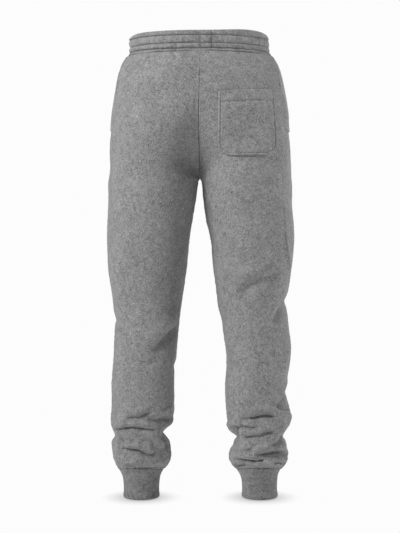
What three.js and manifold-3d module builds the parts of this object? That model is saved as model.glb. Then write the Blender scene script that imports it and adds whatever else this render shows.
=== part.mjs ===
// Jogger sweatpants, filled out as they are worn and open at the waist and the ankles.
// Millimetres, +Z up, the front faces -Y, the wearer's left is +X.
// The origin is the middle of the waist, halfway up the waistband.
//
// Each leg is a tube that runs from the waistband to the ankle. A place on it has a height z and
// an angle: 0 at the outer side, 90 at the back, 180 at the centre seam or the inseam, and
// -90 at the front. Above the crotch the two tubes open into one another and make the seat.

import * as THREE from "three";
import Module from "manifold-3d";
import { mergeVertices } from "three/addons/utils/BufferGeometryUtils.js";

// Cloth and seams
const CLOTH = 2; // brushed fleece
const SEAM_GAP = 0.3; // between two pieces that are sewn together
const NORMAL_STEP = 4; // height over which the cloth's slope is measured
const NORMAL_ANGLE = 4; // angle over which it is measured, in degrees
const MITRE_LIMIT = 1.6; // the most that a slanting edge is longer than the cloth is thick

// Heights
const BAND_TOP = 20.5;
const BAND_FOOT = -15.5;
const PANEL_TOP = BAND_FOOT - SEAM_GAP;
const CROTCH = -286;
const RISE_CURVE = 150; // height over which the centre seams curve under to the crotch
const LEG_BLEND = 45; // how far below the crotch the legs still take some of the seat's shape
const SEAM_SHARPNESS = 6; // how closely the crotch's curve keeps to the centre seams
const CUFF_TOP = -907; // at the sides
const CUFF_FOOT = -965.5;
const CUFF_LEVEL = -940; // below here a cuff is level
const CUFF_SLOPE = 0.19; // how steeply the cuff seams rise towards the back
const SLOPE_RISE = 26; // how far above the cuff seams the legs take on that slope
const PANEL_FOOT = CUFF_TOP + SEAM_GAP;

// Hips. Half widths and depths, how round the section is (1 is an oval, less is fuller at its
// corners), how deep the back is drawn in along the centre seam, and the angle of each side seam.
const HIPS = [
  { z: -15, outer: 149.5, back: 103, front: 102, round: 1, drawn: 0, seamLeft: 22, seamRight: 24 },
  { z: -22, outer: 154, back: 106, front: 105, round: 0.98, drawn: 0, seamLeft: 22, seamRight: 25 },
  { z: -38, outer: 162.5, back: 111, front: 108, round: 0.95, drawn: 0, seamLeft: 24, seamRight: 31 },
  { z: -55, outer: 169, back: 115, front: 110, round: 0.9, drawn: 1, seamLeft: 26, seamRight: 35 },
  { z: -90, outer: 177, back: 120, front: 112, round: 0.84, drawn: 3, seamLeft: 26, seamRight: 39 },
  { z: -141, outer: 186.5, back: 125, front: 114, round: 0.8, drawn: 7, seamLeft: 24, seamRight: 39 },
  { z: -190, outer: 190, back: 125, front: 115, round: 0.77, drawn: 11, seamLeft: 20, seamRight: 36 },
  { z: -245, outer: 194.5, back: 119, front: 115, round: 0.77, drawn: 10, seamLeft: 14, seamRight: 38 },
  { z: CROTCH, outer: 197, back: 114, front: 113, round: 0.77, drawn: 0, seamLeft: 10, seamRight: 42 },
];
const DRAWN = { width: 34, front: 0.4 }; // how wide the centre seams draw in, and how much at the front

// Legs, from the crotch to the cuff seam. The folds are added to these sections.
const LEFT_LEG = [
  { z: -290, outer: 197, inner: 3.4, back: 113.5, front: 112.7, seam: 9 },
  { z: -330, outer: 196, inner: 8.5, back: 106, front: 110, seam: 4 },
  { z: -373, outer: 198, inner: 15, back: 101, front: 106, seam: 2 },
  { z: -416, outer: 200, inner: 21.5, back: 97, front: 101, seam: 0 },
  { z: -460, outer: 198, inner: 26, back: 92, front: 96, seam: 0 },
  { z: -545, outer: 189, inner: 38.5, back: 80, front: 88, seam: 0 },
  { z: -590, outer: 184, inner: 44, back: 78, front: 83, seam: 0 },
  { z: -642, outer: 185.5, inner: 49.5, back: 82, front: 76, seam: 0 },
  { z: -717, outer: 189.5, inner: 54, back: 84, front: 67, seam: 0 },
  { z: -770, outer: 188, inner: 56, back: 82, front: 61, seam: 0 },
  { z: -805, outer: 191.5, inner: 57.5, back: 81, front: 58, seam: 0 },
  { z: -850, outer: 189, inner: 61, back: 78, front: 54, seam: 0 },
  { z: -880, outer: 185.5, inner: 63, back: 76, front: 51, seam: 0 },
  { z: -896, outer: 180, inner: 68, back: 70, front: 45, seam: 0 },
  { z: CUFF_TOP, outer: 173, inner: 79, back: 61, front: 37, seam: 0 },
];
const RIGHT_LEG = [
  { z: -290, outer: 197.4, inner: 3, back: 113.5, front: 112.7, seam: 42 },
  { z: -330, outer: 198.5, inner: 6.5, back: 106, front: 110, seam: 42 },
  { z: -373, outer: 201.5, inner: 13.5, back: 101, front: 106, seam: 41 },
  { z: -416, outer: 202, inner: 22, back: 97, front: 101, seam: 38 },
  { z: -460, outer: 200, inner: 26, back: 92, front: 96, seam: 28 },
  { z: -502, outer: 193.5, inner: 32, back: 86, front: 92, seam: 10 },
  { z: -545, outer: 187, inner: 38.5, back: 80, front: 88, seam: 2 },
  { z: -590, outer: 189.5, inner: 45, back: 78, front: 83, seam: 0 },
  { z: -650, outer: 195.5, inner: 54.5, back: 82, front: 75, seam: 0 },
  { z: -690, outer: 192, inner: 57.5, back: 84, front: 70, seam: 0 },
  { z: -740, outer: 184, inner: 54, back: 83, front: 64, seam: 0 },
  { z: -790, outer: 195, inner: 56, back: 81, front: 59, seam: 0 },
  { z: -850, outer: 190, inner: 62.5, back: 78, front: 54, seam: 0 },
  { z: -880, outer: 189, inner: 62, back: 76, front: 51, seam: 0 },
  { z: -896, outer: 183.5, inner: 68, back: 70, front: 45, seam: 0 },
  { z: CUFF_TOP, outer: 172.5, inner: 79, back: 61, front: 37, seam: 0 },
];
const sideRows = (column, rows) => [
  ...HIPS.map((row) => ({ ...row, inner: 0, seam: row[column] })),
  ...rows,
];
const SECTIONS = {
  left: sideRows("seamLeft", LEFT_LEG),
  right: sideRows("seamRight", RIGHT_LEG),
};

// Folds. Each is a trough at a height and an angle, with its reach to either side in degrees, its
// tilt in millimetres of height for each degree, how far its ends sag, its depth, its width below
// and above its line, and how far the cloth over it hangs down.
const FOLDS = {
  left: [
    { z: -584, angle: 0, reach: 16, tilt: -0.3, sag: 0, depth: 4, width: 9, over: 9, hang: 0 },
    { z: -595, angle: 152, reach: 30, tilt: 1.4, sag: 0, depth: 4, width: 15, over: 15, hang: 0 },
    { z: -560, angle: -70, reach: 42, tilt: 0.35, sag: 0, depth: 4, width: 14, over: 14, hang: 0 },
    { z: -605, angle: -105, reach: 34, tilt: -0.3, sag: 0, depth: 4, width: 13, over: 13, hang: 0 },
    { z: -673, angle: 104, reach: 18, tilt: 0.25, sag: 0, depth: 2.5, width: 8, over: 8, hang: 0 },
    { z: -687, angle: 178, reach: 22, tilt: 0, sag: 0, depth: 3, width: 9, over: 9, hang: 0 },
    { z: -784, angle: 94, reach: 25, tilt: 0.35, sag: 0, depth: 5, width: 6, over: 6, hang: 1.5 },
    { z: -794, angle: 155, reach: 20, tilt: -0.2, sag: 0, depth: 4, width: 5, over: 5, hang: 1 },
    { z: -797, angle: -80, reach: 46, tilt: -0.12, sag: 4, depth: 6, width: 7, over: 7, hang: 2 },
    { z: -812, angle: 84, reach: 62, tilt: -0.03, sag: 8, depth: 8, width: 6, over: 6, hang: 3 },
    { z: -824, angle: 182, reach: 42, tilt: 0, sag: 0, depth: 20, width: 10, over: 15, hang: 2 },
    { z: -835, angle: 0, reach: 30, tilt: 0.05, sag: 0, depth: 8, width: 8, over: 22, hang: 2 },
    { z: -826, angle: -95, reach: 62, tilt: 0.1, sag: 5, depth: 8, width: 7, over: 7, hang: 3 },
    { z: -837, angle: 66, reach: 24, tilt: -0.06, sag: 0, depth: 4, width: 4.5, over: 4.5, hang: 1.5 },
    { z: -851, angle: -60, reach: 40, tilt: 0.14, sag: 0, depth: 6, width: 6, over: 6, hang: 2 },
    { z: -856, angle: 70, reach: 22, tilt: -0.05, sag: 0, depth: 6, width: 4.5, over: 4.5, hang: 2 },
    { z: -865, angle: 110, reach: 22, tilt: 0.1, sag: -7, depth: 8, width: 5, over: 5, hang: 2.5 },
    { z: -849, angle: 150, reach: 17, tilt: -1.35, sag: 0, depth: 4, width: 12, over: 12, hang: 0 },
    { z: -874, angle: -112, reach: 44, tilt: -0.1, sag: 0, depth: 7, width: 6, over: 6, hang: 2 },
  ],
  right: [
    { z: -565, angle: 34, reach: 27, tilt: -0.85, sag: 0, depth: 7, width: 10, over: 10, hang: 2 },
    { z: -519, angle: 94, reach: 26, tilt: -1.05, sag: 0, depth: 4, width: 14, over: 14, hang: 0 },
    { z: -600, angle: 175, reach: 22, tilt: 0, sag: 0, depth: 2.5, width: 9, over: 9, hang: 0 },
    { z: -566, angle: -66, reach: 44, tilt: 0.35, sag: 0, depth: 4, width: 14, over: 14, hang: 0 },
    { z: -612, angle: -110, reach: 34, tilt: -0.3, sag: 0, depth: 4, width: 13, over: 13, hang: 0 },
    { z: -768, angle: 32, reach: 20, tilt: 0.6, sag: 0, depth: 4, width: 10, over: 10, hang: 0 },
    { z: -785, angle: 76, reach: 46, tilt: -0.08, sag: 7, depth: 8, width: 6, over: 6, hang: 3 },
    { z: -800, angle: -85, reach: 46, tilt: 0.12, sag: 0, depth: 6, width: 7, over: 7, hang: 2 },
    { z: -809, angle: 120, reach: 24, tilt: 0, sag: 0, depth: 6, width: 5, over: 5, hang: 2.5 },
    { z: -825, angle: 90, reach: 28, tilt: -0.18, sag: 0, depth: 6, width: 5, over: 5, hang: 2 },
    { z: -836, angle: 180, reach: 44, tilt: 0.05, sag: 0, depth: 24, width: 11, over: 16, hang: 2 },
    { z: -835, angle: 0, reach: 38, tilt: 0, sag: 0, depth: 17, width: 11, over: 18, hang: 2 },
    { z: -829, angle: -92, reach: 52, tilt: -0.1, sag: 4, depth: 8, width: 7, over: 7, hang: 3 },
    { z: -845, angle: 58, reach: 15, tilt: -0.3, sag: 0, depth: 6, width: 5, over: 5, hang: 1 },
    { z: -856, angle: -120, reach: 38, tilt: 0.12, sag: 0, depth: 6, width: 6, over: 6, hang: 2 },
    { z: -864, angle: 66, reach: 34, tilt: -0.09, sag: 0, depth: 9, width: 5, over: 5, hang: 3 },
    { z: -879, angle: 112, reach: 34, tilt: 0, sag: 2, depth: 6, width: 4.5, over: 4.5, hang: 2 },
    { z: -877, angle: -70, reach: 44, tilt: 0.1, sag: 0, depth: 7, width: 6, over: 6, hang: 2 },
  ],
};
const FOLD_END = 14; // height above the cuff seam over which the folds die away
// The lip over a trough: its share of the depth, and how many widths up it and the hang lie.
const FOLD_LIP = { share: 0.22, rise: 1.7, hangRise: 0.9 };

// Gathers, where each panel is eased on to the waistband.
const GATHERS = { waves: 8, depth: 1.3, length: 46, atSides: 0.65 };

// Panel grids: heights from the waist down. The top rows have more columns, for the gathers.
const FINE_COLUMNS = 4 * GATHERS.waves;
const COLUMNS = 10;
const GATHER_HEIGHTS = [PANEL_TOP, -22, -31, -41, -52];
const SEAT_HEIGHTS = [-68, -90, -113];
const RISE_STEPS = 6;
const LEG_HEIGHTS = [
  -290, -305, -340, -385, -430, -470, -505, -530, -553, -575, -600, -635, -675, -715, -748,
];
const STACK_TOP = -770;
const STACK_STEPS = 18;

// Waistband: an elastic casing, sewn through twice so that it stands in three rolls.
const BAND = { halfWidth: 148, halfDepth: 101, steps: 48 };
// Its upper roll stands higher towards the right and slopes down at the sides.
const BAND_LEAN = { from: 10, all: 1.6, right: 4.2, at: -104, reach: 55, dropLeft: 5, dropRight: 9, end: 150 };
const BAND_PROFILE = [
  { z: BAND_TOP, out: -2.5 },
  { z: 19.3, out: 0.4 },
  { z: 16.3, out: 2 },
  { z: 13.4, out: 1.2 },
  { z: 12, out: -0.6 },
  { z: 10.5, out: 1.8 },
  { z: 6, out: 4.2 },
  { z: 0, out: 4.7 },
  { z: -3.2, out: 2.8 },
  { z: -4.5, out: 0.4 },
  { z: -6, out: 2.6 },
  { z: -10.5, out: 3.6 },
  { z: BAND_FOOT, out: 2.3 },
  { z: BAND_FOOT, out: -1.2 },
  { z: -4, out: -3.2 },
  { z: 16, out: -4.4 },
];

// Cuffs: a doubled band of rib knit on each ankle.
const CUFF = { x: 126, y: 12, wall: 3, deeper: 4, steps: 24 }; // deeper than it is wide
const CUFF_PROFILE = [
  { z: CUFF_TOP, out: 47 },
  { z: -913, out: 43 },
  { z: -922, out: 39.6 },
  { z: -932, out: 37.8 },
  { z: -945, out: 37.2 },
  { z: -958, out: 37.4 },
  { z: -963.5, out: 36.8 },
  { z: CUFF_FOOT, out: 35.3 },
];

// Patch pocket on the right seat, as it is seen from behind.
const POCKET = {
  inner: 36, // from the centre seam
  outerTop: 153,
  outerFoot: 161,
  top: -103,
  foot: -240,
  corner: 27,
  lift: 0.35, // clear of the panel
};

// Mouths of the side pockets: the front panel's edge along the side seam, turned and sewn down.
const MOUTH = { top: -24, foot: -186, width: { left: 24, right: 50 }, lift: 0.35 };

const PATCH_END = -260; // what is sewn on to a panel ends above this height
const REACH = 220; // from the middle to past the cloth, on any side

const wasm = await Module();
wasm.setup();

const radians = THREE.MathUtils.degToRad;

// One column of a table at height z, on a smooth curve through its rows.
function valueAt(rows, column, z) {
  const last = rows.length - 1;
  if (z >= rows[0].z) return rows[0][column];
  if (z <= rows[last].z) return rows[last][column];
  const i = rows.findIndex((row, k) => z >= rows[k + 1].z);
  const slope = (k) => {
    const above = rows[Math.max(k - 1, 0)];
    const below = rows[Math.min(k + 1, last)];
    return (below[column] - above[column]) / (below.z - above.z);
  };
  const span = rows[i + 1].z - rows[i].z;
  const t = (z - rows[i].z) / span;
  const a = rows[i][column];
  const b = rows[i + 1][column];
  return (
    a * (1 + 2 * t) * (1 - t) ** 2 +
    slope(i) * span * t * (1 - t) ** 2 +
    b * t * t * (3 - 2 * t) +
    slope(i + 1) * span * t * t * (t - 1)
  );
}

const smooth = (low, high, value) => THREE.MathUtils.smoothstep(value, low, high);

// How much of the seat's shape a place has: all of it on the hips, none on the legs. The centre
// seams curve under to the crotch, and the rest changes slowly.
function seatShare(angle, z) {
  const s = THREE.MathUtils.clamp((z - CROTCH) / RISE_CURVE, 0, 1);
  const rise = (1 - (1 - s) ** 2) ** 0.6;
  const slow = smooth(CROTCH - LEG_BLEND, CROTCH + RISE_CURVE, z);
  return THREE.MathUtils.lerp(slow, rise, (Math.abs(angle) / 180) ** SEAM_SHARPNESS);
}

// The turn from one angle to another, the short way round, in degrees.
const turn = (from, to) => ((((to - from) % 360) + 540) % 360) - 180;

// How far the folds push the cloth out, and how far they let it down.
function foldAt(side, angle, z) {
  let out = 0;
  let down = 0;
  for (const fold of FOLDS[side]) {
    const away = turn(fold.angle, angle);
    const share = Math.exp(-((away / fold.reach) ** 4));
    const line = fold.z + fold.tilt * away - fold.sag * (away / fold.reach) ** 2;
    const above = (z - line) / (z > line ? fold.over : fold.width);
    out -= share * fold.depth * Math.exp(-above * above);
    out += share * fold.depth * FOLD_LIP.share * Math.exp(-((above - FOLD_LIP.rise) ** 2));
    down += share * fold.hang * Math.exp(-((above - FOLD_LIP.hangRise) ** 2));
  }
  const fade = smooth(PANEL_FOOT + 1, PANEL_FOOT + FOLD_END, z);
  return { out: out * fade, down: down * fade };
}

// The ripple of the gathers, deepest by the centre seams.
function gatherAt(angle, z) {
  const fade = smooth(PANEL_TOP - GATHERS.length, PANEL_TOP + 4, z);
  const wave = Math.cos(radians(2 * GATHERS.waves * angle));
  const centred = Math.abs(Math.sin(radians(angle / 2)));
  const uneven = THREE.MathUtils.lerp(GATHERS.atSides, 1, centred);
  return GATHERS.depth * fade * wave * uneven;
}

// Whether a place lies on the seam between the two legs' panels.
const onCentreSeam = (angle, z) => Math.abs(angle) === 180 && z >= CROTCH;

// The outer face of the cloth on one side, at an angle and a height.
function clothAt(side, angle, z) {
  const rows = SECTIONS[side];
  const outer = valueAt(rows, "outer", z);
  const inner = Math.max(valueAt(rows, "inner", z), 0);
  const back = valueAt(rows, "back", z);
  const front = valueAt(rows, "front", z);
  const middle = (back - front) / 2;
  const halfDepth = (back + front) / 2;
  const halfWidth = (outer - inner) / 2;
  const a = radians(angle);
  const leg = new THREE.Vector2(
    (outer + inner) / 2 + halfWidth * Math.cos(a),
    middle + halfDepth * Math.sin(a),
  );
  const legOut = new THREE.Vector2(Math.cos(a) / halfWidth, Math.sin(a) / halfDepth).normalize();
  const round = valueAt(HIPS, "round", z);
  const seat = new THREE.Vector2(
    outer * Math.max(Math.cos(a / 2), 0) ** round,
    middle + halfDepth * Math.sign(a) * Math.abs(Math.sin(a / 2)) ** round,
  );
  const seatOut = new THREE.Vector2(
    Math.cos(a / 2) / outer,
    Math.sin(a / 2) / halfDepth,
  ).normalize();
  const share = seatShare(angle, z);
  const place = leg.lerp(seat, share);
  const drawn = valueAt(HIPS, "drawn", z) * Math.exp(-((place.x / DRAWN.width) ** 2));
  if (z > CROTCH) place.y -= Math.sin(a / 2) > 0 ? drawn : -drawn * DRAWN.front;
  const outward = legOut.lerp(seatOut, share).normalize();
  const fold = foldAt(side, angle, z);
  place.addScaledVector(outward, fold.out + gatherAt(angle, z));
  const slope = CUFF_SLOPE * (1 - smooth(PANEL_FOOT, PANEL_FOOT + SLOPE_RISE, z));
  const mirror = side === "left" ? 1 : -1;
  return new THREE.Vector3(mirror * place.x, place.y, z - fold.down + slope * (place.y - CUFF.y));
}

// The outward normal there. At a centre seam it is laid in the middle plane, and lengthened so
// that the cloth keeps its thickness.
function normalAt(side, angle, z) {
  const atCentre = onCentreSeam(angle, z);
  if (atCentre && z === CROTCH) return new THREE.Vector3(0, 0, -1);
  const limit = atCentre ? 180 : Infinity;
  const before = Math.max(angle - NORMAL_ANGLE / 2, -limit);
  const after = Math.min(angle + NORMAL_ANGLE / 2, limit);
  const top = Math.min(z + NORMAL_STEP / 2, PANEL_TOP);
  const foot = Math.max(z - NORMAL_STEP / 2, PANEL_FOOT);
  const across = clothAt(side, after, z).sub(clothAt(side, before, z));
  const up = clothAt(side, angle, top).sub(clothAt(side, angle, foot));
  const normal = across.cross(up).normalize();
  if (side === "right") normal.negate();
  if (!atCentre) return normal;
  normal.x = 0;
  const length = normal.length();
  return normal.multiplyScalar(Math.min(1 / (length * length), MITRE_LIMIT / length));
}

// Half a seam gap, from a point on a panel's edge into the panel.
function seamShift(side, half, angle, z) {
  const into = new THREE.Vector3();
  if (onCentreSeam(angle, z)) {
    into.x = side === "left" ? 1 : -1;
    if (z === CROTCH) into.y = half === "back" ? 1 : -1;
    return into.multiplyScalar(SEAM_GAP / 2);
  }
  const onSide = Math.abs(angle) !== 180;
  const edgeAt = (height) => {
    const place = onSide ? valueAt(SECTIONS[side], "seam", height) : angle;
    return clothAt(side, place, height);
  };
  const along = edgeAt(z + NORMAL_STEP / 2).sub(edgeAt(z - NORMAL_STEP / 2)).normalize();
  const before = clothAt(side, angle - NORMAL_ANGLE / 2, z);
  into.copy(clothAt(side, angle + NORMAL_ANGLE / 2, z)).sub(before);
  const inward = onSide === (half === "back") ? 1 : -1;
  return into.projectOnPlane(along).setLength((inward * SEAM_GAP) / 2);
}

const panelHeights = [
  ...GATHER_HEIGHTS,
  ...SEAT_HEIGHTS,
  ...Array.from(
    { length: RISE_STEPS + 1 },
    (_, k) => CROTCH + RISE_CURVE * (1 - k / RISE_STEPS) ** 2,
  ),
  ...LEG_HEIGHTS,
  ...Array.from(
    { length: STACK_STEPS + 1 },
    (_, k) => STACK_TOP + ((PANEL_FOOT - STACK_TOP) * k) / STACK_STEPS,
  ),
];

// The points of one panel, row by row, at a distance out from its outer face.
function panelRows(side, half, lift) {
  return panelHeights.map((z, k) => {
    const columns = k < GATHER_HEIGHTS.length ? FINE_COLUMNS : COLUMNS;
    const seam = valueAt(SECTIONS[side], "seam", z);
    const from = half === "back" ? seam : -180;
    const to = half === "back" ? 180 : seam;
    return Array.from({ length: columns + 1 }, (_, c) => {
      const angle = from + ((to - from) * c) / columns;
      const point = clothAt(side, angle, z);
      if (c === 0 || c === columns) point.add(seamShift(side, half, angle, z));
      return point.addScaledVector(normalAt(side, angle, z), lift);
    });
  });
}

// A closed geometry from points and triangles.
function geometryOf(points, triangles, flip) {
  const index = flip ? triangles.map(([a, b, c]) => [a, c, b]) : triangles;
  const geometry = new THREE.BufferGeometry().setFromPoints(points);
  geometry.setIndex(index.flat());
  geometry.computeVertexNormals();
  return geometry;
}

// Triangles between two rows of points, which may have different numbers of columns.
function bandBetween(top, foot) {
  const triangles = [];
  let i = 0;
  let j = 0;
  while (i < top.length - 1 || j < foot.length - 1) {
    const topNext = (i + 1) / (top.length - 1);
    const footNext = (j + 1) / (foot.length - 1);
    if (j < foot.length - 1 && footNext <= topNext + 1e-9) {
      triangles.push([top[i], foot[j], foot[j + 1]]);
      j++;
    } else {
      triangles.push([top[i], foot[j], top[i + 1]]);
      i++;
    }
  }
  return triangles;
}

// A wall of cloth between an outer and an inner sheet of points.
function wallBetween(outer, inner, flip) {
  const points = [];
  const numbered = (rows) => rows.map((row) => row.map((p) => points.push(p) - 1));
  const out = numbered(outer);
  const inn = numbered(inner);
  const last = out.length - 1;
  const triangles = [];
  for (let i = 0; i < last; i++) {
    triangles.push(...bandBetween(out[i], out[i + 1]));
    triangles.push(...bandBetween(inn[i], inn[i + 1]).map(([a, b, c]) => [a, c, b]));
  }
  const rim = (rows) => [
    ...rows[0],
    ...rows.slice(1, last).map((row) => row.at(-1)),
    ...rows[last].toReversed(),
    ...rows.slice(1, last).toReversed().map((row) => row[0]),
  ];
  const outRim = rim(out);
  const inRim = rim(inn);
  const firstSide = outRim.length - last;
  outRim.forEach((a, k) => {
    const next = (k + 1) % outRim.length;
    const [b, c, d] = [outRim[next], inRim[next], inRim[k]];
    // The two edges of a seam are split along the same diagonals, so that they lie even.
    if (k < firstSide) triangles.push([a, b, c], [a, c, d]);
    else triangles.push([b, c, d], [b, d, a]);
  });
  return geometryOf(points, triangles, flip);
}

// A closed ring: a profile of points carried round an oval.
function ringOf(profile, steps, pointAt) {
  const points = [];
  const triangles = [];
  const place = (i, j) => (i % profile.length) * steps + (j % steps);
  for (const spot of profile) {
    for (let j = 0; j < steps; j++) points.push(pointAt(spot, (2 * Math.PI * j) / steps));
  }
  for (let i = 0; i < profile.length; i++) {
    for (let j = 0; j < steps; j++) {
      const [a, b] = [place(i, j), place(i + 1, j)];
      const [c, d] = [place(i + 1, j + 1), place(i, j + 1)];
      triangles.push([a, b, c], [a, c, d]);
    }
  }
  return geometryOf(points, triangles, false);
}

const panel = (side, half) =>
  wallBetween(panelRows(side, half, 0), panelRows(side, half, -CLOTH), side === "right");

// How much higher the waistband's upper edge stands at a distance from the middle.
function bandLean(x) {
  const hump = BAND_LEAN.right * Math.exp(-(((x - BAND_LEAN.at) / BAND_LEAN.reach) ** 2));
  const drop = x > 0 ? BAND_LEAN.dropLeft : BAND_LEAN.dropRight;
  return BAND_LEAN.all + hump - drop * (x / BAND_LEAN.end) ** 14;
}

function waistband() {
  return ringOf(BAND_PROFILE, BAND.steps, ({ z, out }, a) => {
    const x = (BAND.halfWidth + out) * Math.cos(a);
    const y = (BAND.halfDepth + out) * Math.sin(a);
    return new THREE.Vector3(x, y, z + bandLean(x) * smooth(BAND_LEAN.from, BAND_TOP, z));
  });
}

function cuff(side) {
  const mirror = side === "left" ? 1 : -1;
  const coarse = CUFF_PROFILE.filter((_, k) => k % 2 === 0);
  const inside = coarse.toReversed().map(({ z, out }) => ({ z, out: out - CUFF.wall }));
  return ringOf([...CUFF_PROFILE, ...inside], CUFF.steps, ({ z, out }, a) => {
    const deep = (out + CUFF.deeper) * Math.sin(a);
    const slope = CUFF_SLOPE * smooth(CUFF_LEVEL, CUFF_TOP, z);
    return new THREE.Vector3(mirror * CUFF.x + out * Math.cos(a), CUFF.y + deep, z + slope * deep);
  });
}

// A manifold solid from a closed geometry.
function solidOf(geometry) {
  const bare = new THREE.BufferGeometry();
  bare.setAttribute("position", geometry.getAttribute("position"));
  bare.setIndex(geometry.index);
  const merged = mergeVertices(bare, 1e-4);
  return new wasm.Manifold(
    new wasm.Mesh({
      numProp: 3,
      vertProperties: merged.getAttribute("position").array,
      triVerts: new Uint32Array(merged.index.array),
    }),
  );
}

function geometryFrom(solid) {
  const mesh = solid.getMesh();
  const geometry = new THREE.BufferGeometry();
  geometry.setAttribute("position", new THREE.BufferAttribute(mesh.vertProperties, 3));
  geometry.setIndex(new THREE.BufferAttribute(mesh.triVerts, 1));
  geometry.computeVertexNormals();
  return geometry;
}

// A layer of cloth that lies on a panel's upper rows, cut to an outline.
function patchOn(side, half, lift, outline) {
  const [under, over] = [lift, lift + CLOTH].map((out) =>
    panelRows(side, half, out).filter((_, k) => panelHeights[k] > PATCH_END),
  );
  const layer = solidOf(wallBetween(over, under, side === "right"));
  return geometryFrom(layer.intersect(solidOf(outline)));
}

// The pocket's outline, seen from behind, as a prism that runs along Y.
function pocketOutline() {
  const { inner, outerTop, outerFoot, top, foot, corner } = POCKET;
  const shape = new THREE.Shape();
  shape.moveTo(-inner, top);
  shape.lineTo(-inner, foot + corner);
  shape.quadraticCurveTo(-inner, foot, -inner - corner, foot);
  shape.lineTo(-outerFoot + corner, foot);
  shape.quadraticCurveTo(-outerFoot, foot, -outerFoot, foot + corner);
  shape.lineTo(-outerTop, top);
  const options = { depth: REACH, bevelEnabled: false, curveSegments: 6 };
  return new THREE.ExtrudeGeometry(shape, options).rotateX(Math.PI / 2).translate(0, REACH, 0);
}

// The outline of a side pocket's mouth, seen from the side, as a prism that runs along X.
function mouthOutline(side) {
  const { top, foot } = MOUTH;
  const width = MOUTH.width[side];
  const seamAt = (z) => clothAt(side, valueAt(SECTIONS[side], "seam", z), z).y;
  const shape = new THREE.Shape();
  shape.moveTo(seamAt(top) - width, top);
  shape.lineTo(seamAt(foot) - width, foot);
  shape.lineTo(seamAt(foot) + width, foot);
  shape.lineTo(seamAt(top) + width, top);
  const prism = new THREE.ExtrudeGeometry(shape, { depth: REACH, bevelEnabled: false });
  prism.rotateX(Math.PI / 2).rotateZ(Math.PI / 2);
  return prism.translate(side === "left" ? 0 : -REACH, 0, 0);
}

const fleece = new THREE.MeshStandardMaterial({ color: 0x858585, roughness: 0.95, metalness: 0 });
const rib = new THREE.MeshStandardMaterial({ color: 0x828282, roughness: 0.95, metalness: 0 });

const sweatpants = new THREE.Group();
function add(name, geometry, material) {
  const mesh = new THREE.Mesh(geometry, material);
  mesh.name = name;
  sweatpants.add(mesh);
}

for (const side of ["left", "right"]) {
  add(`back_${side}`, panel(side, "back"), fleece);
  add(`front_${side}`, panel(side, "front"), fleece);
  add(`cuff_${side}`, cuff(side), rib);
  add(`pocket_mouth_${side}`, patchOn(side, "front", MOUTH.lift, mouthOutline(side)), fleece);
}
add("waistband", waistband(), fleece);
add("back_pocket", patchOn("right", "back", POCKET.lift, pocketOutline()), fleece);

export default sweatpants;
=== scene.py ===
# %% [markdown]
# # Jogger sweatpants, seen from behind
#
# A pair of fleece sweatpants, filled out as they are worn and open at the waist and the ankles.
# They are sewn from four panels, an elastic waistband, two rib cuffs, a patch pocket and the
# turned mouths of two side pockets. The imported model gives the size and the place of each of
# these pieces. This script gives each its cloth: a thin shell with folds, rolled seams, stitches
# and a heather grey knit.

# %% The frame
import bpy
import math
import numpy as np
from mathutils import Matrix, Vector


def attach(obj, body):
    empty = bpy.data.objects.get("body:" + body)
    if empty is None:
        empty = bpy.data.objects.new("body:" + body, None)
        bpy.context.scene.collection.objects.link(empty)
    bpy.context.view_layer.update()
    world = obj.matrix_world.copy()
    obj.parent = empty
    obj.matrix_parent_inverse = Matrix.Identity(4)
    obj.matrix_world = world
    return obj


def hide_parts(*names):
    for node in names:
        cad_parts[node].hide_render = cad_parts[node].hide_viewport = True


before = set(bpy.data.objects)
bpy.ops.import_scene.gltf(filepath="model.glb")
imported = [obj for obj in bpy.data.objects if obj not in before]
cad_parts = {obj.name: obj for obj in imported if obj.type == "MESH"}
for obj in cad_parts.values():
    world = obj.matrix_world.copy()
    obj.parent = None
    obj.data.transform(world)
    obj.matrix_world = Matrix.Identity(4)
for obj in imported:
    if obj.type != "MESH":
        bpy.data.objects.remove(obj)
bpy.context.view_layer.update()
MM = 0.001  # the tables are in millimetres, Blender is in metres
print("nodes in the frame:", len(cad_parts))


def table(columns, *rows):
    """A short table: each row as a dict of its named columns."""
    return [dict(zip(columns.split(), row)) for row in rows]


def added(name, data):
    """A new object in the scene."""
    made = bpy.data.objects.new(name, data)
    bpy.context.collection.objects.link(made)
    return made


def new_material(name):
    """A new material and its node tree."""
    material = bpy.data.materials.new(name)
    material.use_nodes = True
    return material, material.node_tree


def fill(node, inputs):
    """Give some of a node's inputs their values."""
    for name, value in inputs.items():
        node.inputs[name].default_value = value
    return node


def new_node(tree, kind, inputs=None, **settings):
    """A new node with its settings and the values of some of its inputs."""
    node = tree.nodes.new(kind)
    for name, value in settings.items():
        setattr(node, name, value)
    return fill(node, inputs or {})


def wire(tree, *wires):
    """Join nodes: each wire is a node and its output, then another node and its input."""
    for node, output, target, entry in wires:
        tree.links.new(node.outputs[output], target.inputs[entry])


# %% [markdown]
# ## Camera, floor and light
#
# The photograph looks straight at the back of the garment from a little above its middle, so the
# waistband shows its outer rim and the cuffs are seen from above. The upright lines in it stay
# upright, so the camera is level and the frame is shifted down instead.

# %% Camera
CAMERA_DISTANCE = 3.0
CAMERA_HEIGHT = -0.372
SENSOR = 36.0
VIEW_WIDTH = 0.860  # what the frame spans, at the middle of the garment
FRAME_DROP = 0.1178  # how far down the frame is shifted, as a share of its width

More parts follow.
